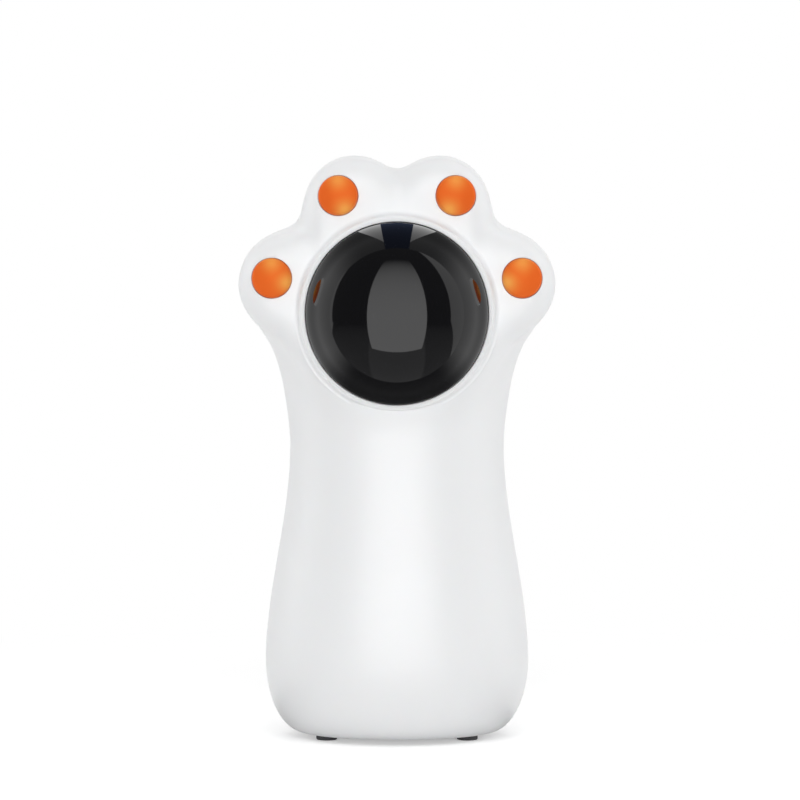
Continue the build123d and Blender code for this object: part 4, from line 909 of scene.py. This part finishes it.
    def build_rear(self) -> Piece:
        """Rear shell with port recess, button and light holes and deep screw tubes.

        Returns:
            The finished piece.
        """
        shell = self.half("paw_rear", False)
        back = self.skin.point((0, 0, self.port_z), (0, 1, 0))[1]
        inward, outward = self.port_cut
        cutters = [self.stadium(self.port_hole, back - inward, back + outward),
                   self.stadium(self.port_recess, back - self.port_recess_depth, back + outward)]
        for node, radius in (("power_button", self.button_hole), ("light_pipe", self.light_hole)):
            cutters.append(bar(radius, (0, 0, node_centre(node)[2]), (0, 1, 0), *self.back_cut))
        tubes = []
        side, seat = self.screw_tube, self.screw_seat_y
        for x, z in self.screw_places():
            cutters.append(bar(self.screw_hole, (x, 0, z), (0, 1, 0), seat, self.back_cut[1],
                               COARSE_TURN))
            walls = [self.skin.point((x + off, 0, z), (0, 1, 0))[1] for off in (-side, 0, side)]
            end = min(walls) - self.tube_under
            tube = [(self.screw_bore, 0), (side, 0), (side, end), (self.screw_hole, end),
                    (self.screw_hole, seat), (self.screw_bore, seat)]
            tubes.append(spun("tube", tube, (x, 0, z), (0, 1, 0), COARSE_TURN, True))
        cut(shell, cutters)
        piece = joined([shell] + tubes, "paw_rear")
        smooth(piece)
        return piece

    def screw_places(self) -> list[tuple[float, float]]:
        """Centres of the screws that join the shells, in X and Z."""
        (low_x, low_z), (high_x, rise) = self.low_screw, self.high_screw
        pairs = ((low_x, low_z), (high_x, self.skin.dome_z + rise))
        return [(sign * x, z) for x, z in pairs for sign in (-1, 1)]


# ======== Dome, beans, feet, button =====================================================

@dataclass
class LaserDome:
    """Glossy tinted half globe with a short skirt and a flange."""

    centre: np.ndarray
    radius: float = 23.2
    wall: float = 1.8
    # How far the dome's middle lies behind the lip's front, and what stands behind the middle.
    set_back: float = 1.3
    skirt: float = 3.1
    flange: float = 1.4
    flange_radius: float = 24.4
    # Runs over the outside and over the inside.
    runs: tuple[int, int] = (48, 36)

    def build(self) -> Piece:
        """Spin the dome's wall about its own axis.

        Returns:
            The finished dome.
        """
        inner, back = self.radius - self.wall, -self.skirt - self.flange
        outline = arc((0, 0), self.radius, 90, 0, self.runs[0])
        outline += [(self.radius, -self.skirt), (self.flange_radius, -self.skirt),
                    (self.flange_radius, back), (inner, back)]
        outline += arc((0, 0), inner, 0, 90, self.runs[1])
        piece = spun("dome", outline, self.centre, (0, -1, 0), FINE_TURN)
        smooth(piece)
        return piece


@dataclass
class ToeBean:
    """Round pad with a soft edge, a low crown and a peg."""

    name: str
    seat: np.ndarray
    heading: np.ndarray
    # Radius, depth under the skin, height and radius of the edge's arc, and height of the crown.
    radius: float = 5.1
    sink: float = 2.0
    shoulder: float = -0.5
    edge_round: float = 1.2
    crown: float = 1.6
    peg_radius: float = 1.2
    peg_length: float = 2.8
    # Painted highlight: how far out and how wide it lies, as shares of the radius, and how
    # strongly it is painted at the upper edge.
    highlight_out: float = 0.80
    highlight_width: float = 0.44
    highlight_top: float = 0.75
    # Runs over the crown, over the edge and round.
    runs: tuple[int, int, int] = (24, 10, 72)

    def paint_highlight(self, piece: Piece, dome_z: float) -> None:
        """Mark the painted highlight: at the upper edge and on the side towards the dome.

        Args:
            piece: the bean's mesh.
            dome_z: height of the dome's middle.
        """
        middle = np.array((self.seat[0], self.seat[2]))
        inward = np.array((0.0, dome_z)) - middle
        spots = ((np.array((0.0, 1.0)), self.highlight_top), (inward / np.hypot(*inward), 1.0))
        marks = piece.data.attributes.new(PAINTED_HIGHLIGHT, "FLOAT", "POINT")
        for vertex, mark in zip(piece.data.vertices, marks.data):
            off = (np.array((vertex.co.x, vertex.co.z)) / MM - middle) / self.radius
            apart = [(float(np.sum((off - way * self.highlight_out) ** 2)), level)
                     for way, level in spots]
            mark.value = max(level * math.exp(-square / self.highlight_width ** 2)
                             for square, level in apart)

    def build(self) -> Piece:
        """Spin the bean from its crown, its edge arc, its side and its peg.

        Returns:
            The finished bean.
        """
        edge = self.radius - self.edge_round
        rise = self.crown - self.edge_round
        middle = (rise ** 2 - edge ** 2 - self.shoulder ** 2) / (2 * (rise - self.shoulder))
        meet = math.degrees(math.atan2(self.shoulder - middle, edge))
        peg_end = -self.sink - self.peg_length
        outline = arc((0, middle), self.crown - middle, 90, meet, self.runs[0])
        outline += arc((edge, self.shoulder), self.edge_round, meet, 0, self.runs[1])[1:]
        outline += [(self.radius, -self.sink), (self.peg_radius, -self.sink),
                    (self.peg_radius, peg_end), (0, peg_end)]
        piece = spun(f"bean_{self.name}", outline, self.seat, self.heading, self.runs[2])
        smooth(piece)
        return piece


@dataclass
class RubberFoot:
    """Round rubber foot with a soft lower edge and a shallow step under it."""

    node: str
    edge: float = 0.45
    # The step's radii, as shares of the foot's radius, and its height.
    step_radii: tuple[float, float] = (0.55, 0.60)
    step_height: float = 0.05

    def build(self) -> Piece:
        """Spin the foot inside its node's box.

        Returns:
            The finished foot.
        """
        low, high = node_box(self.node)
        radius = (high[0] - low[0]) / 2
        height = high[2] - low[2]
        middle = node_centre(self.node)
        inner, outer = (radius * share for share in self.step_radii)
        outline = [(0, self.step_height), (inner, self.step_height), (outer, 0)]
        outline += arc((radius - self.edge, self.edge), self.edge, -90, 0, ROUND_STEPS)
        outline += [(radius, height), (0, height)]
        piece = spun(self.node.replace("foot", "pad"), outline, (middle[0], middle[1], low[2]),
                     (0, 0, 1), COARSE_TURN)
        smooth(piece)
        return piece


@dataclass
class PushButton:
    """Round button with a dished top, a soft edge and its retaining flange."""

    node: str = "power_button"
    radius: float = 3.9
    flange_radius: float = 4.9
    flange: float = 0.9
    # Radius of the soft edge, width of the flat rim, and depth of the dish inside it.
    edge: float = 0.4
    rim: float = 0.4
    dish: float = 0.25
    dish_runs: int = 8

    def build(self) -> Piece:
        """Spin the button inside its node's box.

        Returns:
            The finished button.
        """
        low, high = node_box(self.node)
        height = high[1] - low[1]
        middle = node_centre(self.node)
        bowl = self.radius - self.edge - self.rim
        drop = (bowl ** 2 + self.dish ** 2) / (2 * self.dish)
        sweep = math.degrees(math.asin(bowl / drop))
        outline = arc((0, height - self.dish + drop), drop, -90, -90 + sweep, self.dish_runs)
        outline += arc((self.radius - self.edge, height - self.edge), self.edge, 90, 0,
                       ROUND_STEPS)
        outline += [(self.radius, self.flange), (self.flange_radius, self.flange),
                    (self.flange_radius, 0), (0, 0)]
        piece = spun("button_cap", outline, (middle[0], low[1], middle[2]), (0, 1, 0))
        smooth(piece)
        return piece


# ======== Nodes that keep their shape ===================================================

KEPT_NODES: dict[Finish, tuple[str, ...]] = {
    WHITE_SHELL: ("base_plate",),
    BLACK_FRAME: ("dome_retainer", "chassis", "tilt_yoke", "laser_cradle"),
    PLATED_STEEL: ("retainer_screws", "chassis_screws", "shell_screws", "base_screws",
                   "board_screws", "pan_motor_screws", "yoke_screws", "pivot_screw",
                   "pivot_washer", "cell_tab_top", "cell_tab_bottom", "tilt_motor_clip",
                   "usb_c_shell"),
    DRAWN_CAN: ("laser_diode", "capacitor", "pan_motor", "tilt_motor"),
    CELL_FILM: ("battery_cell",),
    BOARD_MASK: ("main_board", "laser_board"),
    CHIP_EPOXY: ("controller_chip", "charger_chip", "inductor", "usb_c_tongue", "switch_body",
                 "switch_plunger"),
    PLUG_NYLON: ("battery_connector", "motor_header", "indicator_led"),
    PIPE_CLEAR: ("light_pipe",),
    LEAD_SLEEVE: ("battery_leads", "pan_motor_leads"),
    GEAR_ACETAL: ("pan_pinion", "turntable", "tilt_pinion"),
    TURNED_BRASS: ("laser_barrel", "lens_ring"),
    LENS_CLEAR: ("laser_lens",),
}


def dress_kept_nodes() -> None:
    """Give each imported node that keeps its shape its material."""
    for finish, nodes in KEPT_NODES.items():
        for node in nodes:
            dress(frame["nodes"][node], finish)
            LOG.info("%s: %s", node, finish.name)


# ======== Studio ========================================================================

@dataclass(frozen=True)
class Softbox:
    """Rectangular soft lamp that neither the camera nor gloss shows.

    Attributes:
        name: name of the lamp.
        place: its middle, in metres.
        size: width and height, in metres.
        level: radiance, where 1 shows as white.
        aim: the point that it faces, in metres.
    """

    name: str
    place: tuple[float, float, float]
    size: tuple[float, float]
    level: float
    aim: tuple[float, float, float] = (0.0, 0.0, 0.08)

    def build(self) -> None:
        """Place the lamp and turn it to its aim."""
        data = bpy.data.lights.new(self.name, "AREA")
        data.shape = "RECTANGLE"
        data.size, data.size_y = self.size
        data.energy = self.level * math.pi * self.size[0] * self.size[1]
        lamp = bpy.data.objects.new(self.name, data)
        bpy.context.scene.collection.objects.link(lamp)
        lamp.location = self.place
        view = Vector(self.aim) - Vector(self.place)
        lamp.rotation_euler = view.to_track_quat("-Z", "Y").to_euler()
        lamp.visible_camera = lamp.visible_glossy = False


# Tall front softbox, low fill, two side strips slightly behind and a top bank.
SOFTBOXES = (
    Softbox("front_box", (0, -1.7, 0.50), (1.5, 1.9), 1.85),
    Softbox("low_fill", (0, -1.2, 0.14), (1.4, 0.26), 2.0),
    Softbox("left_strip", (-1.5, 0.1, 0.45), (1.0, 1.4), 1.55),
    Softbox("right_strip", (1.5, 0.1, 0.45), (1.0, 1.4), 1.85),
    Softbox("top_bank", (0, 0.1, 1.6), (1.4, 1.4), 1.35),
)


@dataclass
class Studio:
    """White floor and backdrop, soft lamps, sheets that only gloss shows, and the camera.

    Sizes are in metres unless named otherwise, and levels are radiance, where 1 shows as white.

    Attributes:
        dome: middle of the dome.
        bean: seat of the right outer bean.
    """

    dome: Vector
    bean: Vector
    # Camera: pixel of the column's foot in a square picture, scale, degrees of height, distance
    # in millimetres and lens.
    centre_px: tuple[float, float] = (397.0, 738.5)
    px_per_mm: float = 3.9
    picture_px: float = 800.0
    elevation: float = 4.2
    distance: float = 2200.0
    sensor_mm: float = 36.0
    clip: tuple[float, float] = (0.05, 20.0)
    # Floor and backdrop: side, height, radius and runs of the curve between them, degrees that
    # still shade smooth, and how far off the shadow fades into plain white.
    floor_side: float = 6.4
    backdrop: float = 3.6
    bend: float = 0.7
    bend_runs: int = 16
    bend_angle: float = 60.0
    paper_colour: str = "#F8F8F8"
    paper_glow: float = 0.30
    shadow_reach: tuple[float, float] = (0.08, 0.28)
    room_level: float = 0.20
    # Bright upright panel ahead of the dome, and the heights between which it fades.
    panel_ahead: float = 0.107
    panel_half: float = 0.074
    panel_foot: float = 0.012
    panel_fade: tuple[float, float] = (0.10, 0.48)
    panel_level: float = 2.05
    # Dark hood over the front. Two upright planes, at these degrees off the front, end it.
    sheet_runs: int = 96
    hood_radius: float = 0.8
    hood_level: float = 0.11
    hood_back: float = 0.20
    hood_sides: tuple[float, float] = (74.5, 58.5)
    # Dark sheet just over the floor, with a lighter strip that widens towards the front.
    low_lift: float = 0.0005
    low_back: float = 0.048
    low_sides: tuple[float, float] = (83.5, 68.4)
    low_level: float = 0.29
    low_fade: tuple[float, float] = (0.12, 0.60)
    strip_level: float = 0.46
    strip_half: float = 0.037
    strip_slope: float = 0.5
    strip_blur: float = 0.003
    # Collar just ahead of the lip, a painted reflection for the dome's rim: radii, flat part, and
    # how far its edge leans forward.
    collar_ahead: float = 0.0017
    collar: tuple[float, float] = (0.0233, 0.105)
    collar_flat: float = 0.050
    collar_lean: float = 0.008
    # Fades of its level by the distance off the dome's middle, and by the share of that
    # distance that is height: start, end, level at the start and level at the end.
    collar_near: tuple[float, ...] = (0.024, 0.040, 0.30, 0.85)
    collar_low: tuple[float, ...] = (-0.85, -0.45, 0.13, 1.0)
    collar_high: tuple[float, ...] = (0.4, 0.9, 1.0, 0.3)
    # Painted reflection on the collar: light patch over the dome, its dark wedge, and the part
    # that stays clear at a bean.
    patch_rise: float = 0.5
    patch_half: float = 0.010
    patch_level: float = 1.05
    wedge_slope: float = 0.185
    wedge_level: float = 0.12
    wedge_colour: str = "#B1C8FF"
    bean_clear: float = 0.0058

    def camera(self) -> None:
        """Long lens at the object's height, looking slightly down."""
        data = bpy.data.cameras.new("studio_camera")
        view = bpy.data.objects.new("studio_camera", data)
        bpy.context.scene.collection.objects.link(view)
        half = self.picture_px / 2
        aim = Vector(((half - self.centre_px[0]) / self.px_per_mm, COLUMN_Y,
                      (self.centre_px[1] - half) / self.px_per_mm)) * MM
        tilt = math.radians(self.elevation)
        back = Vector((0, -math.cos(tilt), math.sin(tilt)))
        view.location = aim + back * self.distance * MM
        view.rotation_euler = (math.pi / 2 - tilt, 0, 0)
        data.sensor_width = self.sensor_mm
        data.lens = self.sensor_mm * self.distance * self.px_per_mm / self.picture_px
        data.clip_start, data.clip_end = self.clip
        bpy.context.scene.camera = view

    @staticmethod
    def shown(tree: Tree) -> Socket:
        """1 for what the camera, a mirror or a clear piece shows, 0 for light on the rest."""
        path = add_node(tree, "ShaderNodeLightPath")
        total = path.outputs["Is Camera Ray"]
        for name in ("Is Glossy Ray", "Is Transmission Ray"):
            total = add_node(tree, "ShaderNodeMath", {"0": total, "1": path.outputs[name]},
                             operation="MAXIMUM").outputs[0]
        return total

    def paper(self) -> Material:
        """Matte white paper that keeps the near shadow and shows plain white further off.

        Returns:
            The material of the floor and backdrop.
        """
        made = bpy.data.materials.new("paper_white_matte")
        made.use_nodes = True
        tree = made.node_tree
        tree.nodes.clear()
        place = add_node(tree, "ShaderNodeTexCoord").outputs["Object"]
        away = add_node(tree, "ShaderNodeVectorMath", {"0": place}, operation="LENGTH")
        near, far = self.shadow_reach
        share = add_node(tree, "ShaderNodeMapRange", {
            "Value": away.outputs["Value"], "From Min": near, "From Max": far},
            interpolation_type="SMOOTHSTEP")
        sheet = add_node(tree, "ShaderNodeBsdfDiffuse", {"Color": linear(self.paper_colour),
                                                         "Roughness": 0.5})
        glow = add_node(tree, "ShaderNodeEmission", {"Strength": self.paper_glow})
        white = add_node(tree, "ShaderNodeEmission", {"Strength": 1.0})
        close = add_node(tree, "ShaderNodeAddShader", {"0": sheet.outputs[0],
                                                       "1": glow.outputs[0]})
        seen = add_node(tree, "ShaderNodeMixShader", {
            "0": share.outputs["Result"], "1": close.outputs[0], "2": white.outputs[0]})
        mix = add_node(tree, "ShaderNodeMixShader", {
            "0": self.shown(tree), "1": sheet.outputs[0], "2": seen.outputs[0]})
        add_node(tree, "ShaderNodeOutputMaterial", {"Surface": mix.outputs[0]})
        return made

    def sweep(self) -> None:
        """Floor that curves up into a backdrop."""
        clear_selection()
        bpy.ops.mesh.primitive_plane_add(size=self.floor_side, location=(0, 0, 0))
        sheet = bpy.context.object
        sheet.name = "studio_sweep"
        bpy.ops.object.mode_set(mode="EDIT")
        bpy.ops.mesh.select_all(action="DESELECT")
        bpy.ops.object.mode_set(mode="OBJECT")
        for edge in sheet.data.edges:
            edge.select = all(sheet.data.vertices[v].co.y > 0 for v in edge.vertices)
        bpy.ops.object.mode_set(mode="EDIT")
        bpy.ops.mesh.extrude_region_move(
            TRANSFORM_OT_translate={"value": (0, 0, self.backdrop)})
        bpy.ops.object.mode_set(mode="OBJECT")
        corner = sheet.modifiers.new("curve", "BEVEL")
        corner.width, corner.segments = self.bend, self.bend_runs
        corner.limit_method = "ANGLE"
        apply_all(sheet)
        smooth(sheet, self.bend_angle)
        sheet.data.materials.append(self.paper())

    def gloss_only(self, sheet: Piece, strength: NodeInput, tree: Tree,
                   clear: Optional[Socket] = None, tint: Optional[Socket] = None) -> None:
        """Let a sheet be seen by gloss alone.

        Args:
            sheet: the sheet, in place.
            strength: its radiance.
            tree: node tree of the sheet's material.
            clear: share that is seen through, if any.
            tint: colour of its light, if it isn't white.
        """
        light = add_node(tree, "ShaderNodeEmission", {"Strength": strength})
        if tint is not None:
            tree.links.new(tint, light.inputs["Color"])
        surface = light.outputs[0]
        if clear is not None:
            through = add_node(tree, "ShaderNodeBsdfTransparent")
            surface = add_node(tree, "ShaderNodeMixShader", {
                "0": clear, "1": surface, "2": through.outputs[0]}).outputs[0]
        add_node(tree, "ShaderNodeOutputMaterial", {"Surface": surface})
        sheet.visible_camera = sheet.visible_diffuse = sheet.visible_shadow = False
        sheet.visible_transmission = sheet.visible_volume_scatter = False

    @staticmethod
    def named_sheet(name: str) -> Piece:
        """Name the primitive just added and put its place into its mesh."""
        sheet = bpy.context.object
        sheet.name = name
        rest_at_origin(sheet)
        return sheet

    @staticmethod
    def sheet_tree(sheet: Piece, sampled: bool = False) -> Tree:
        """Empty material of a sheet, as its node tree."""
        made = bpy.data.materials.new(sheet.name + "_sheet")
        made.use_nodes = True
        made.node_tree.nodes.clear()
        made.cycles.emission_sampling = "AUTO" if sampled else "NONE"
        sheet.data.materials.append(made)
        return made.node_tree

    def cut_back(self, sheet: Piece, back: float, sides: tuple[float, float]) -> None:
        """Keep the part of a sheet that lies ahead of two upright planes.

        Args:
            sheet: the sheet.
            back: how far behind the dome's middle the planes meet.
            sides: angles of the left and right plane off the front, in degrees.
        """
        make_active(sheet)
        corner = (0, self.dome.y + back, 0)
        bpy.ops.object.mode_set(mode="EDIT")
        for side, angle in zip((-1, 1), sides):
            turn = math.radians(angle)
            bpy.ops.mesh.select_all(action="SELECT")
            bpy.ops.mesh.bisect(plane_co=corner, clear_outer=True,
                                plane_no=(side * math.cos(turn), math.sin(turn), 0))
        bpy.ops.object.mode_set(mode="OBJECT")

    def panel(self) -> None:
        """Bright upright panel ahead of the dome, fading upwards."""
        clear_selection()
        foot, top = self.panel_foot, self.panel_fade[1]
        middle = (0, self.dome.y - self.panel_ahead, (foot + top) / 2)
        bpy.ops.mesh.primitive_plane_add(size=1.0, rotation=(math.pi / 2, 0, 0), location=middle)
        bpy.context.object.scale = (2 * self.panel_half, top - foot, 1)
        sheet = self.named_sheet("gloss_panel")
        tree = self.sheet_tree(sheet, True)
        place = add_node(tree, "ShaderNodeTexCoord").outputs["Object"]
        height = add_node(tree, "ShaderNodeSeparateXYZ", {"Vector": place}).outputs["Z"]
        levels = (*self.panel_fade, self.panel_level, self.hood_level)
        fall = add_node(tree, "ShaderNodeMapRange", {"Value": height, **dict(zip(RANGE, levels))},
                        interpolation_type="SMOOTHSTEP")
        self.gloss_only(sheet, fall.outputs["Result"], tree)

    def hood(self) -> None:
        """Dark round hood over the front."""
        clear_selection()
        bpy.ops.mesh.primitive_uv_sphere_add(segments=self.sheet_runs, location=self.dome,
                                             ring_count=self.sheet_runs // 2,
                                             radius=self.hood_radius)
        sheet = self.named_sheet("gloss_hood")
        self.cut_back(sheet, self.hood_back, self.hood_sides)
        self.gloss_only(sheet, self.hood_level, self.sheet_tree(sheet))

    def low_sheet(self) -> None:
        """Dark round sheet on the floor, a little lighter under the panel."""
        clear_selection()
        bpy.ops.mesh.primitive_circle_add(vertices=self.sheet_runs, radius=self.hood_radius,
                                          fill_type="NGON",
                                          location=(0, self.dome.y, self.low_lift))
        sheet = self.named_sheet("gloss_floor")
        self.cut_back(sheet, self.low_back, self.low_sides)
        tree = self.sheet_tree(sheet)
        place = add_node(tree, "ShaderNodeTexCoord").outputs["Object"]
        away = add_node(tree, "ShaderNodeVectorMath", {"0": place, "1": (0.0, self.dome.y, 0.0)},
                        operation="DISTANCE").outputs["Value"]
        parts = add_node(tree, "ShaderNodeSeparateXYZ", {"Vector": place}).outputs
        across = add_node(tree, "ShaderNodeMath", {"0": parts["X"]}, operation="ABSOLUTE")
        slanted = add_node(tree, "ShaderNodeMath", {
            "0": parts["Y"], "1": self.strip_slope, "2": across.outputs[0]},
            operation="MULTIPLY_ADD").outputs[0]
        edge = self.strip_half + self.strip_slope * self.dome.y
        fall, strip = (
            add_node(tree, "ShaderNodeMapRange", {"Value": value, **dict(zip(RANGE, levels))})
            for value, levels in (
                (away, (*self.low_fade, self.low_level, self.hood_level)),
                (slanted, (edge - self.strip_blur, edge + self.strip_blur,
                           self.strip_level - self.low_level, 0.0))))
        level = add_node(tree, "ShaderNodeMath", {
            "0": fall.outputs["Result"], "1": strip.outputs["Result"]}, operation="ADD")
        self.gloss_only(sheet, level.outputs[0], tree)

    def collar_sheet(self) -> None:
        """Ring just ahead of the lip, which keeps the bright shell out of the dome's rim and
        shows there as a painted reflection instead.

        It is clear from behind, so that the shell's own sheen passes, and ahead of the outer
        beans. Its sides are grey, its lower part is dark, and above the dome stands a light patch
        with a navy wedge in its middle.
        """
        inner, outer = self.collar
        steps = [(inner / MM, 0), (self.collar_flat / MM, 0), (outer / MM, self.collar_lean / MM)]
        heading = Vector((0, -1, 0))
        origin = (self.dome + heading * self.collar_ahead) / MM
        sheet = spun("gloss_collar", steps, origin, heading, self.sheet_runs)
        if sheet.data.polygons[0].normal.y > 0:
            sheet.data.flip_normals()
        tree = self.sheet_tree(sheet)
        place = add_node(tree, "ShaderNodeTexCoord").outputs["Object"]
        off = add_node(tree, "ShaderNodeVectorMath", {"0": place, "1": tuple(self.dome)},
                       operation="SUBTRACT").outputs[0]
        folded = add_node(tree, "ShaderNodeVectorMath", {"0": off}, operation="ABSOLUTE")
        across = add_node(tree, "ShaderNodeSeparateXYZ", {
            "Vector": folded.outputs[0]}).outputs["X"]
        height = add_node(tree, "ShaderNodeSeparateXYZ", {"Vector": off}).outputs["Z"]
        level, tint = self.collar_light(tree, off, across, height)
        self.gloss_only(sheet, level, tree, self.collar_opening(tree, across, height), tint)

    def collar_light(self, tree: Tree, off: Socket, across: Socket,
                     height: Socket) -> tuple[Socket, Socket]:
        """Level and colour of the collar's light.

        Args:
            tree: node tree of the collar's material.
            off: a point's place, counted from the dome's middle.
            across: its distance from the middle plane.
            height: its height over the dome's middle.

        Returns:
            Radiance and colour.
        """
        away = add_node(tree, "ShaderNodeVectorMath", {"0": off},
                        operation="LENGTH").outputs["Value"]
        rise = add_node(tree, "ShaderNodeMath", {"0": height, "1": away},
                        operation="DIVIDE").outputs[0]
        level: NodeInput = 1.0
        for value, levels in ((away, self.collar_near), (rise, self.collar_low),
                              (rise, self.collar_high)):
            part = add_node(tree, "ShaderNodeMapRange", {
                "Value": value, **dict(zip(RANGE, levels))}, interpolation_type="SMOOTHSTEP")
            level = add_node(tree, "ShaderNodeMath", {"0": level, "1": part.outputs["Result"]},
                             operation="MULTIPLY").outputs[0]
        edge = add_node(tree, "ShaderNodeMath", {"0": height, "1": self.wedge_slope},
                        operation="MULTIPLY").outputs[0]
        wedge = add_node(tree, "ShaderNodeMath", {"0": across, "1": edge},
                         operation="LESS_THAN").outputs[0]
        high = add_node(tree, "ShaderNodeMath", {"0": rise, "1": self.patch_rise},
                        operation="GREATER_THAN").outputs[0]
        near = add_node(tree, "ShaderNodeMath", {"0": across, "1": self.patch_half},
                        operation="LESS_THAN").outputs[0]
        patch = add_node(tree, "ShaderNodeMath", {"0": high, "1": near},
                         operation="MULTIPLY").outputs[0]
        for mask, value in ((patch, self.patch_level), (wedge, self.wedge_level)):
            level = add_node(tree, "ShaderNodeMix", {"0": mask, "2": level,
                                                     "3": value}).outputs[0]
        tint = add_node(tree, "ShaderNodeMix", {
            "0": wedge, "6": linear("#FFFFFF"), "7": linear(self.wedge_colour)},
            data_type="RGBA").outputs[2]
        return level, tint

    def collar_opening(self, tree: Tree, across: Socket, height: Socket) -> Socket:
        """1 where the collar is clear: from behind, and ahead of the outer beans.

        Args:
            tree: node tree of the collar's material.
            across: a point's distance from the middle plane.
            height: its height over the dome's middle.

        Returns:
            The share that is seen through.
        """
        bean = (abs(self.bean.x), 0.0, self.bean.z - self.dome.z)
        flat = add_node(tree, "ShaderNodeCombineXYZ", {"X": across, "Z": height}).outputs[0]
        apart = add_node(tree, "ShaderNodeVectorMath", {"0": flat, "1": bean},
                         operation="DISTANCE").outputs["Value"]
        ahead = add_node(tree, "ShaderNodeMath", {"0": apart, "1": self.bean_clear},
                         operation="LESS_THAN").outputs[0]
        behind = add_node(tree, "ShaderNodeNewGeometry").outputs["Backfacing"]
        return add_node(tree, "ShaderNodeMath", {"0": ahead, "1": behind},
                        operation="MAXIMUM").outputs[0]

    def world(self) -> None:
        """Even pale room light that also fills the shadows."""
        world = bpy.data.worlds.new("studio_room")
        bpy.context.scene.world = world
        world.use_nodes = True
        tree = world.node_tree
        tree.nodes.clear()
        level = add_node(tree, "ShaderNodeMapRange", {
            "Value": self.shown(tree), "To Min": self.room_level, "To Max": 1.0})
        light = add_node(tree, "ShaderNodeBackground", {
            "Color": linear("#FFFFFF"), "Strength": level.outputs["Result"]})
        add_node(tree, "ShaderNodeOutputWorld", {"Surface": light.outputs[0]})

    def build(self) -> None:
        """Set up camera, stage, sheets, lamps and view."""
        self.camera()
        self.sweep()
        self.panel()
        self.hood()
        self.low_sheet()
        self.collar_sheet()
        for softbox in SOFTBOXES:
            softbox.build()
        self.world()
        bpy.context.scene.view_settings.view_transform = "Standard"


# ======== Main ==========================================================================


def main() -> None:
    """Build and dress each piece, then set up the studio."""
    logging.basicConfig(level=logging.INFO, format="%(name)s: %(message)s")
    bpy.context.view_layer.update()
    dome_middle = node_centre("laser_dome")
    skin = PawSkin(dome_z=dome_middle[2])
    housing = PawHousing(skin)
    seated(housing.build_front(), "housing", WHITE_SHELL, "front_shell")
    seated(housing.build_rear(), "housing", WHITE_SHELL, "rear_shell")
    dome = LaserDome(np.array([0.0, housing.lip_front + LaserDome.set_back, dome_middle[2]]))
    seated(dome.build(), "housing", DOME_TINT, "laser_dome")
    for name, (seat, heading) in housing.bean_seats().items():
        bean = ToeBean(name, seat, heading)
        piece = bean.build()
        # Mark the bean's painted highlight at its upper edge and towards the dome.
        bean.paint_highlight(piece, dome_middle[2])
        seated(piece, "housing", ORANGE_PAD, f"toe_bean_{name}")
    for place in ("front_left", "front_right", "rear_left", "rear_right"):
        seated(RubberFoot(f"foot_{place}").build(), "housing", FOOT_RUBBER, f"foot_{place}")
    seated(PushButton().build(), "button", WHITE_SHELL, "power_button")
    dress_kept_nodes()
    shift = Vector((0, COLUMN_Y, 0))
    bean_seat = Vector(housing.bean_seats()["right_outer"][0])
    Studio((Vector(dome.centre) + shift) * MM, (bean_seat + shift) * MM).build()


if __name__ == "__main__":
    main()
